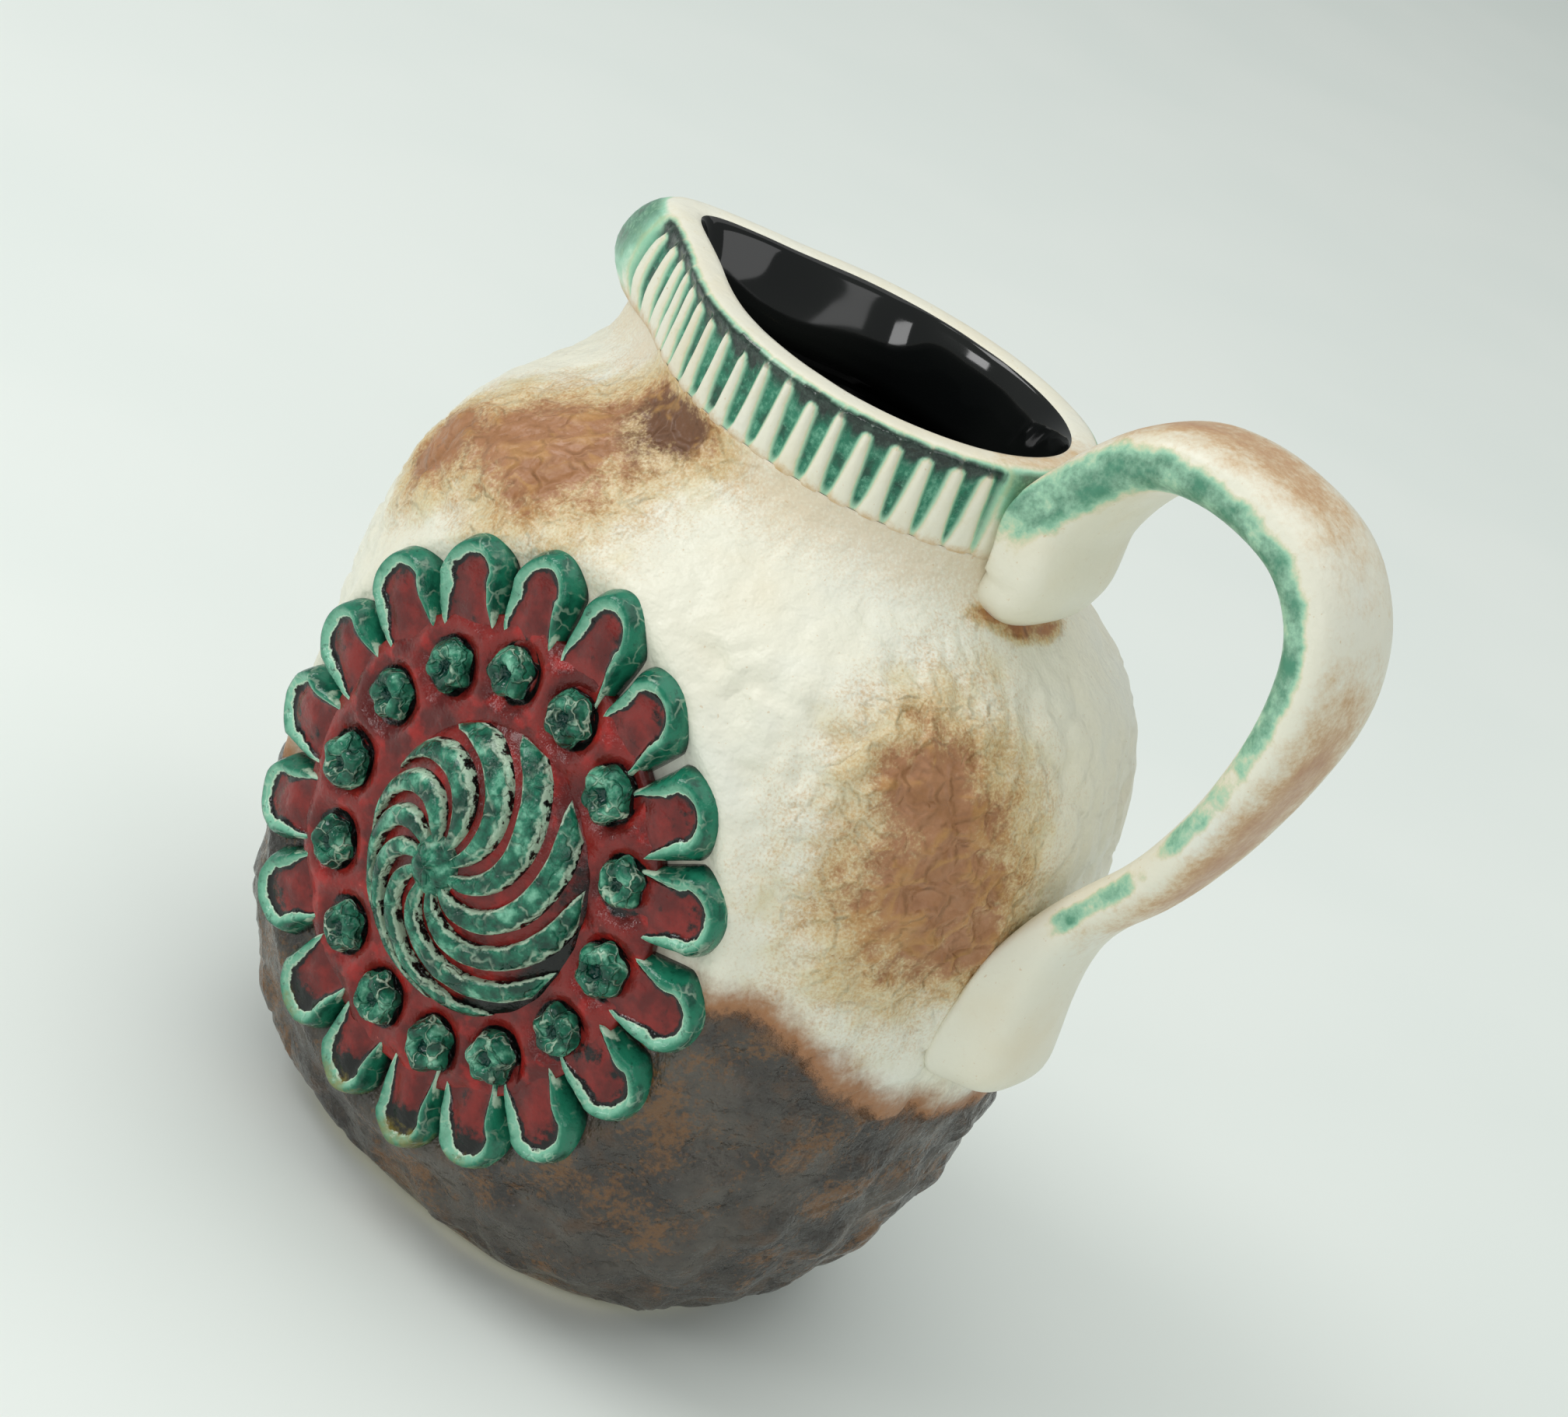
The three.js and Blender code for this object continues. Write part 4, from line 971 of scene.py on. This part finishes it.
def ring_group():
    group = bpy.data.node_groups.new("ring_of_copies", "GeometryNodeTree")
    face = group.interface
    face.new_socket("Form", in_out="INPUT", socket_type="NodeSocketGeometry")
    sockets = {}
    for label, kind in RING_INPUTS:
        sockets[label] = face.new_socket(label, in_out="INPUT", socket_type=f"NodeSocket{kind}").identifier
    face.new_socket("Ring", in_out="OUTPUT", socket_type="NodeSocketGeometry")
    given = group.nodes.new("NodeGroupInput").outputs

    def node(kind, inputs, output=0, **settings):
        return add_node(group, kind, inputs, output, **settings)

    def calc(operation, *values):
        return node("ShaderNodeMath", dict(enumerate(values)), operation=operation)

    def chance(reach, offset):
        seed = calc("ADD", given["Seed"], offset)
        ends = {2: calc("MULTIPLY", reach, -1.0), 3: reach}
        return node("FunctionNodeRandomValue", {**ends, "Seed": seed}, 1, data_type="FLOAT")

    index = node("GeometryNodeInputIndex", {})
    even_turn = calc("DIVIDE", calc("MULTIPLY", index, FULL_TURN), given["Count"])
    turn = calc("ADD", even_turn, chance(given["Turn Jitter"], 1))
    across, up = [calc("MULTIPLY", calc(wave, turn), given["Ring Radius"]) for wave in ("COSINE", "SINE")]
    spot = node("ShaderNodeCombineXYZ", {0: across, 1: up})
    points = node("GeometryNodePoints", {"Count": given["Count"]})
    placed = node("GeometryNodeSetPosition", {"Geometry": points, "Position": spot})
    spin = node("ShaderNodeCombineXYZ", {2: calc("ADD", turn, chance(given["Spin Jitter"], 2))})
    size = calc("ADD", 1.0, chance(given["Size Jitter"], 3))
    setting = {"Points": placed, "Instance": given["Form"], "Rotation": spin, "Scale": size}
    real = node("GeometryNodeRealizeInstances", {0: node("GeometryNodeInstanceOnPoints", setting)})
    coated = node("GeometryNodeSetMaterial", {"Geometry": real, "Material": given["Glaze"]})
    node("NodeGroupOutput", {0: coated})
    return group, sockets


RING_GROUP, RING_SOCKETS = ring_group()


def ring_piece(name, form, glaze, **settings):
    modifier = form.modifiers.new("ring", "NODES")
    modifier.node_group = RING_GROUP
    modifier[RING_SOCKETS["Glaze"]] = glaze
    for label, value in settings.items():
        modifier[RING_SOCKETS[label.replace("_", " ")]] = value
    graph = bpy.context.evaluated_depsgraph_get()
    whole = form.evaluated_get(graph)
    mesh = bpy.data.meshes.new_from_object(whole, preserve_all_data_layers=True, depsgraph=graph)
    bpy.data.objects.remove(form)
    mesh.name = name
    piece = bpy.data.objects.new(name, mesh)
    bpy.context.scene.collection.objects.link(piece)
    return piece


def read_points(mesh):
    flat = np.zeros(len(mesh.vertices) * 3, np.float32)
    mesh.vertices.foreach_get("co", flat)
    return flat.reshape(-1, 3).astype(float) / MM


def lay_on_front(piece, roughness, size, seed, shift=0.0, lean=0.0, tall=ROSETTE_TALL):
    flat = read_points(piece.data)
    reach = np.hypot(flat[:, 0], flat[:, 1])
    leaned = lean * np.clip(1 - (reach / WHORL_RADIUS) ** 2, 0, 1)
    flat[:, 0] = flat[:, 0] * ROSETTE_WIDE + shift - leaned
    flat[:, 1] = flat[:, 1] * tall + ROSETTE_LIFT
    flat[:, 2] += roughness * layered_noise(flat, size, seed, 3) * smooth(flat[:, 2], 0.3, 2.0)
    points = on_front(flat)
    piece.data.vertices.foreach_set("co", (points * MM).astype(np.float32).reshape(-1))
    piece.data.update()
    return flat


def weld(piece):
    work = bmesh.new()
    work.from_mesh(piece.data)
    bmesh.ops.remove_doubles(work, verts=work.verts, dist=WELD_DISTANCE)
    bmesh.ops.dissolve_degenerate(work, edges=work.edges, dist=WELD_DISTANCE)
    bmesh.ops.recalc_face_normals(work, faces=work.faces)
    work.to_mesh(piece.data)
    work.free()


# Petals: the outline's inner end, the underside, the floor, the raised rim and the rounded edge
PETAL_INNER = 38.5
PETAL_GAP = 0.15
PETAL_UNDERSIDE = -0.6
PETAL_FLOOR = 3.1
PETAL_RIM = 2.1
PETAL_RIM_INSET = 2.5
PETAL_RIM_SPREAD = 1.5
PETAL_EDGE = 2.9
PETAL_TIP_STEPS = 31
PETAL_SIDE_STEPS = 18
PETAL_END_STEPS = 7
PETAL_SHARES = [0, 0.02, 0.05, 0.09, 0.14, 0.2, 0.27, 0.34, 0.41, 0.48, 0.56, 0.66, 0.78, 0.9, 1.0]


# Outline of a petal, and the line down its middle that the rows shrink to
def petal_outline():
    half = math.pi / PETAL_COUNT
    sine = math.sin(half)
    tip_round = (PETAL_TIP_RADIUS * sine - PETAL_GAP) / (1 + sine)
    tip_centre = PETAL_TIP_RADIUS - tip_round
    arc = even(half - math.pi / 2, math.pi / 2 - half, PETAL_TIP_STEPS)
    tip = np.stack([tip_centre + tip_round * np.cos(arc), tip_round * np.sin(arc)], -1)
    side_out = even(tip[-1, 0], PETAL_INNER, PETAL_SIDE_STEPS)[1:]
    side_half = tip[-1, 1] - (tip[-1, 0] - side_out) * math.tan(half)
    upper = np.stack([side_out, side_half], -1)
    lower = upper[::-1] * (1, -1)
    across = even(side_half[-1], -side_half[-1], PETAL_END_STEPS)[1:-1]
    end = np.stack([np.full(len(across), PETAL_INNER), across], -1)
    loop = np.vstack([lower, tip, upper, end])
    middle = np.stack([np.clip(loop[:, 0], PETAL_INNER + 0.5, tip_centre), 0 * loop[:, 0]], -1)
    return loop, middle


def petal_form():
    loop, middle = petal_outline()
    span = np.linalg.norm(loop - middle, axis=1)
    rows = []
    marks = {"inset": [], "side": [], "tip": []}

    def add(share, lifted):
        spot = loop + (middle - loop) * share
        out = spot[:, 0]
        inset = share * span / (0.3 + 0.7 * smooth(out, 40, 51))
        lift = PETAL_UNDERSIDE
        if lifted:
            crown = 0.7 * (1 - (1 - max(0.0, (share - 0.5) / 0.5)) ** 2)
            floor = PETAL_FLOOR + 0.5 * smooth(out, 38.5, 44.5) + crown * smooth(out, 41, 47)
            rim = PETAL_RIM * np.exp(-((inset - PETAL_RIM_INSET) / PETAL_RIM_SPREAD) ** 2)
            rim = rim * smooth(out, 38, 49)
            wall = np.sqrt(1 - (1 - np.clip(inset / PETAL_EDGE, 0, 1)) ** 2)
            lift = lift + (floor + rim - PETAL_UNDERSIDE) * wall
        rows.append(np.column_stack([spot, np.broadcast_to(lift, len(loop))]))
        marks["inset"].append(inset)
        marks["side"].append(smooth(loop[:, 0], 50, 44) * np.exp(-((share * span - 0.8) / 0.7) ** 2))
        marks["tip"].append(smooth(out, 47, 56))

    for share in (1.0, 0.5):
        add(share, False)
    for share in PETAL_SHARES:
        add(share, True)
    form = build("petal_form", rows, marks)
    weld(form)
    return form


def petals_piece():
    piece = ring_piece("rosette_petals", petal_form(), petal_glaze(), Count=PETAL_COUNT, Ring_Radius=0.0,
                       Turn_Jitter=0.018, Spin_Jitter=0.0, Size_Jitter=0.012, Seed=4)
    flat = lay_on_front(piece, 0.45, 5.0, 12)
    store(piece.data, "low", smooth(flat[:, 1], -20, -58) * smooth(np.hypot(flat[:, 0], flat[:, 1]), 46, 58))
    return piece


# Beads: share of the radius and of the rise, from the underside over the top into the crater
BEAD_PROFILE = [
    (0.55, -0.5), (1.12, -0.5), (1.12, 0.0), (1.08, 0.28), (1.0, 0.55), (0.9, 0.78), (0.76, 0.94),
    (0.6, 1.0), (0.46, 0.94), (0.36, 0.78), (0.27, 0.62), (0.15, 0.56),
]
BEAD_SIDES = 36
BEAD_SEAT = DISC_LEVEL - 0.3
BEAD_CREST = 7
CRATER_FLOOR = 0.54


def bead_form():
    around = all_round(BEAD_SIDES)
    facet = 1 + 0.07 * np.cos(6 * around + 0.4) + 0.05 * np.cos(5 * around + 1.9)
    rows = []
    marks = {"crater": [], "skirt": []}
    for order, (radius, level) in enumerate(BEAD_PROFILE):
        reach = BEAD_RADIUS * radius * facet
        lift = BEAD_SEAT + BEAD_RISE * level * (1 + 0.06 * np.cos(3 * around + 0.8))
        rows.append(np.stack([reach * np.cos(around), reach * np.sin(around), lift], -1))
        crater = np.interp(radius, [0.2, 0.5], [1, 0]) if order > BEAD_CREST else 0.0
        marks["crater"].append(np.full(BEAD_SIDES, crater))
        marks["skirt"].append(np.full(BEAD_SIDES, np.interp(level, [0.0, 0.35], [1, 0])))
    low, floor = BEAD_SEAT - BEAD_RISE * 0.5, BEAD_SEAT + BEAD_RISE * CRATER_FLOOR
    return build("bead_form", rows, marks, ((0, 0, low), (0, 0, floor)))


def beads_piece():
    piece = ring_piece("rosette_beads", bead_form(), bead_glaze(), Count=BEAD_COUNT,
                       Ring_Radius=BEAD_RING_RADIUS * MM, Turn_Jitter=0.03, Spin_Jitter=3.1,
                       Size_Jitter=0.07, Seed=9)
    lay_on_front(piece, 0.5, 2.6, 31, BEAD_SHIFT)
    return piece


def polar_rows(radii, sides, lift):
    radius, turn = np.meshgrid(radii, all_round(sides), indexing="ij")
    return np.stack([radius * np.cos(turn), radius * np.sin(turn), lift(radius, turn)], -1), radius, turn


# Disc, boss and hub: the mesh's sides, the radii, and the level of the underside
DISC_RADIUS = 44.0
DISC_SIDES = 240
DISC_UNDERSIDE = 0.2
DISC_RADII = np.concatenate([even(DISC_RADIUS, 12, 70), even(10, 2, 3)])
BOSS_SIDES = 160
BOSS_UNDERSIDE = DISC_LEVEL - 1.5
BOSS_SHADE = math.radians(35)
HUB_SIDES = 48
HUB_SUNK = 1.2
ON_WHORL = (WHORL_SHIFT, WHORL_LEAN, WHORL_TALL)


def bead_gaps(across, up):
    for bead in range(BEAD_COUNT):
        angle = FULL_TURN * bead / BEAD_COUNT
        yield np.hypot(across - BEAD_RING_RADIUS * math.cos(angle) - BEAD_SHIFT,
                       up - BEAD_RING_RADIUS * math.sin(angle))


def disc_piece():
    def top(radius, turn):
        level = DISC_LEVEL + 0 * radius - 0.9 * smooth(radius, 39, DISC_RADIUS)
        for gap in bead_gaps(radius * np.cos(turn), radius * np.sin(turn)):
            level = level - 0.9 * np.exp(-((gap - 4.6) / 1.5) ** 2) + 0.55 * np.exp(-((gap - 8.2) / 2.0) ** 2)
        return level + 0.9 * smooth(radius, 31, 25)

    rows = polar_rows(DISC_RADII, DISC_SIDES, top)[0]
    # Painted shade: black in the pit round the foot of each bead
    soot_and_shade = 0 * rows[..., 0]
    for gap in bead_gaps(rows[..., 0], rows[..., 1]):
        soot_and_shade = np.maximum(soot_and_shade, np.exp(-((gap - 5.0) / 1.4) ** 2))
    under = polar_rows([4, 24, DISC_RADIUS], DISC_SIDES, lambda r, t: 0 * r + DISC_UNDERSIDE)[0]
    soot_and_shade = np.concatenate([0 * under[..., 0], soot_and_shade])
    poles = ((0, 0, DISC_UNDERSIDE), (0, 0, DISC_LEVEL))
    piece = build("rosette_disc_floor", np.concatenate([under, rows]), {"soot_and_shade": soot_and_shade}, poles)
    coat(piece, red_glaze("disc_glaze", 1.15, 1.4))
    lay_on_front(piece, 0.35, 7.0, 17)
    return piece


def dome_lift(radius):
    return DISC_LEVEL + 0.2 + WHORL_RISE * np.clip(1 - (radius / WHORL_RADIUS) ** 2, 0, 1) ** WHORL_FULLNESS


def dome_piece():
    radii = WHORL_RADIUS * np.sin(even(math.pi / 2, 0.04, 46))
    rows, radius, turn = polar_rows(radii, BOSS_SIDES, lambda r, t: dome_lift(r))
    under = polar_rows([6, WHORL_RADIUS], BOSS_SIDES, lambda r, t: 0 * r + BOSS_UNDERSIDE)[0]
    # Painted shade: the outer slope of the boss goes black on one side, darkest towards its lower right
    shaded = 0.5 + 0.5 * np.cos(turn + BOSS_SHADE)
    soot_and_shade = np.concatenate([0 * under[..., 0] + 1, smooth(radius, 17, 25) * shaded])
    poles = ((0, 0, BOSS_UNDERSIDE), (0, 0, dome_lift(0.0)))
    piece = build("whorl_boss", np.concatenate([under, rows]), {"soot_and_shade": soot_and_shade}, poles)
    coat(piece, red_glaze("boss_glaze", 0.9, 1.4))
    lay_on_front(piece, 0.3, 5.0, 23, *ON_WHORL)
    return piece


# Arms: the section as shares of half the width and of the rise, and how both change along the arm
ARM_SECTION = np.array([
    (-1.0, -0.9), (-1.0, 0.0), (-0.93, 0.5), (-0.78, 0.82), (-0.5, 0.97), (0, 1.03),
    (0.5, 0.97), (0.78, 0.82), (0.93, 0.5), (1.0, 0.0), (1.0, -0.9), (0.0, -0.9),
])
ARM_FILL = [0, 0.1, 0.8, 0.95, 1.0], [0.56, 0.62, 0.7, 0.66, 0.48]
ARM_RISE = [0, 0.2, 0.7, 0.9, 1.0], [1.2, 2.2, 2.8, 2.3, 1.0]
ARM_START = 3.2
ARM_END = 25.6
ARM_STEPS = 44


def arm_form():
    across, up = ARM_SECTION.T
    edge = np.abs(across) * np.where(up < 0.3, 1.05, 1.0)
    rows = []
    for share in even(0, 1, ARM_STEPS):
        radius = ARM_START + (ARM_END - ARM_START) * share
        fill = np.interp(share, *ARM_FILL) * math.pi / ARM_COUNT
        turn = ARM_TWIST * share ** ARM_CURL + across * fill
        spots = radius * np.column_stack([np.cos(turn), np.sin(turn)])
        reach = np.minimum(np.hypot(spots[:, 0], spots[:, 1]), WHORL_RADIUS * 0.985)
        rows.append(np.column_stack([spots, dome_lift(reach) + up * np.interp(share, *ARM_RISE)]))
    poles = (rows[0].mean(0), rows[-1].mean(0))
    return build("arm_form", rows, {"edge": np.tile(edge, ARM_STEPS)}, poles)


def arms_piece():
    piece = ring_piece("whorl_arms", arm_form(), arm_glaze(), Count=ARM_COUNT, Ring_Radius=0.0,
                       Turn_Jitter=0.03, Spin_Jitter=0.0, Size_Jitter=0.0, Seed=2)
    lay_on_front(piece, 0.45, 4.0, 41, *ON_WHORL)
    return piece


def hub_piece():
    radii = HUB_RADIUS * np.sin(even(math.pi / 2, 0.1, 14))

    def top(radius, turn):
        crown = np.sqrt(np.clip(1 - (radius / HUB_RADIUS) ** 2, 0, 1))
        return dome_lift(radius) - 0.4 + (HUB_RISE + 0.4) * crown * (1 + 0.12 * np.cos(5 * turn + 0.6))

    rows, radius, _ = polar_rows(radii, HUB_SIDES, top)
    under = polar_rows([2, HUB_RADIUS], HUB_SIDES, lambda r, t: dome_lift(r) - HUB_SUNK)[0]
    edge = np.concatenate([0 * under[..., 0], 0.75 * smooth(radius, HUB_RADIUS * 0.7, HUB_RADIUS)])
    poles = ((0, 0, dome_lift(0.0) - HUB_SUNK), (0, 0, dome_lift(0.0) + HUB_RISE))
    piece = build("whorl_hub_knob", np.concatenate([under, rows]), {"edge": edge}, poles)
    coat(piece, bpy.data.materials["arm_glaze"])
    lay_on_front(piece, 0.5, 2.8, 61, *ON_WHORL)
    return piece


def numbered(stem, count):
    return [f"{stem}_{number:02d}" for number in range(1, count + 1)]


PIECES = [
    (body_piece, "cream_glaze", ["body"]),
    (collar_piece, "cream_glaze", ["mouth_collar"]),
    (handle_piece, "cream_glaze", ["handle"]),
    (disc_piece, "red_glaze", ["rosette_disc"]),
    (petals_piece, "green_glaze", numbered("petal", PETAL_COUNT)),
    (beads_piece, "green_glaze", numbered("bead", BEAD_COUNT)),
    (dome_piece, "red_glaze", ["whorl_dome"]),
    (arms_piece, "green_glaze", numbered("whorl_arm", ARM_COUNT)),
    (hub_piece, "green_glaze", ["whorl_hub"]),
]
for make, slot, nodes in PIECES:
    piece = make()
    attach(piece, "root")
    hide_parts(*nodes)


# Studio: a pale floor, soft lights and the photograph's camera
FLOOR_SIZE = 8.0
FLOOR_BELOW = -0.0002
ROOM_STRENGTH = 0.45
# Lights: name, place, target, width and height, and power
LIGHTS = [
    ("window_left", (-0.85, -0.6, 1.2), (0, 0, 0.1), (0.7, 0.55), 6.8),
    ("ceiling", (0.1, 0.2, 2.0), (0, 0, 0.1), (2.4, 2.4), 18.0),
    ("window_low", (-0.95, -1.8, 0.68), (0, 0, 0.18), (0.5, 0.4), 5.0),
    ("window_front", (0.42, -1.9, 0.58), (0, 0, 0.18), (0.55, 0.22), 2.2),
    ("window_right", (1.1, -0.9, 0.8), (0, 0, 0.1), (0.7, 0.7), 2.5),
]
CAMERA_TURN = math.radians(30.314)
CAMERA_LIFT = math.radians(25.92)
CAMERA_ROLL = math.radians(24.257)
CAMERA_DISTANCE = 0.7435
CAMERA_CENTRE = 0.095
CAMERA_LENS = 87.59
CAMERA_AIM = (0.02028, 0.01529)


def studio():
    bpy.ops.mesh.primitive_plane_add(size=FLOOR_SIZE, location=(0, 0, FLOOR_BELOW))
    floor = bpy.context.object
    floor.name = "studio_floor"
    paper = Glaze("floor_paper")
    colour = paper.layers(PAPER_DARK, (PAPER_PALE, paper.noise(160, 2), 0.35, 0.65))
    coat(floor, paper.finish(colour, 0.9))
    world = bpy.data.worlds.new("studio")
    bpy.context.scene.world = world
    world.use_nodes = True
    background = world.node_tree.nodes["Background"]
    background.inputs[0].default_value = ROOM
    background.inputs[1].default_value = ROOM_STRENGTH
    for name, spot, target, size, power in LIGHTS:
        light = bpy.data.lights.new(name, "AREA")
        light.shape = "RECTANGLE"
        light.size, light.size_y = size
        light.energy = power
        lamp = bpy.data.objects.new(name, light)
        lamp.location = spot
        lamp.rotation_euler = (Vector(target) - Vector(spot)).to_track_quat("-Z", "Y").to_euler()
        bpy.context.scene.collection.objects.link(lamp)


def camera():
    right = Vector((math.cos(CAMERA_TURN), math.sin(CAMERA_TURN), 0))
    flat = math.cos(CAMERA_LIFT)
    back = Vector((math.sin(CAMERA_TURN) * flat, -math.cos(CAMERA_TURN) * flat, math.sin(CAMERA_LIFT)))
    up = back.cross(right)
    across = right * math.cos(CAMERA_ROLL) + up * math.sin(CAMERA_ROLL)
    above = up * math.cos(CAMERA_ROLL) - right * math.sin(CAMERA_ROLL)
    look = (across * CAMERA_AIM[0] + above * CAMERA_AIM[1] - back).normalized()
    side = look.cross(above).normalized()
    top = side.cross(look)
    data = bpy.data.cameras.new("photo_camera")
    data.sensor_width = 36.0
    data.lens = CAMERA_LENS
    data.dof.use_dof = False
    data.clip_start = 0.01
    eye = bpy.data.objects.new("photo_camera", data)
    eye.matrix_world = Matrix((
        (side.x, top.x, -look.x, back.x * CAMERA_DISTANCE),
        (side.y, top.y, -look.y, back.y * CAMERA_DISTANCE),
        (side.z, top.z, -look.z, back.z * CAMERA_DISTANCE + CAMERA_CENTRE),
        (0, 0, 0, 1),
    ))
    bpy.context.scene.collection.objects.link(eye)
    bpy.context.scene.camera = eye


studio()
camera()
bpy.context.scene.view_settings.view_transform = "Standard"
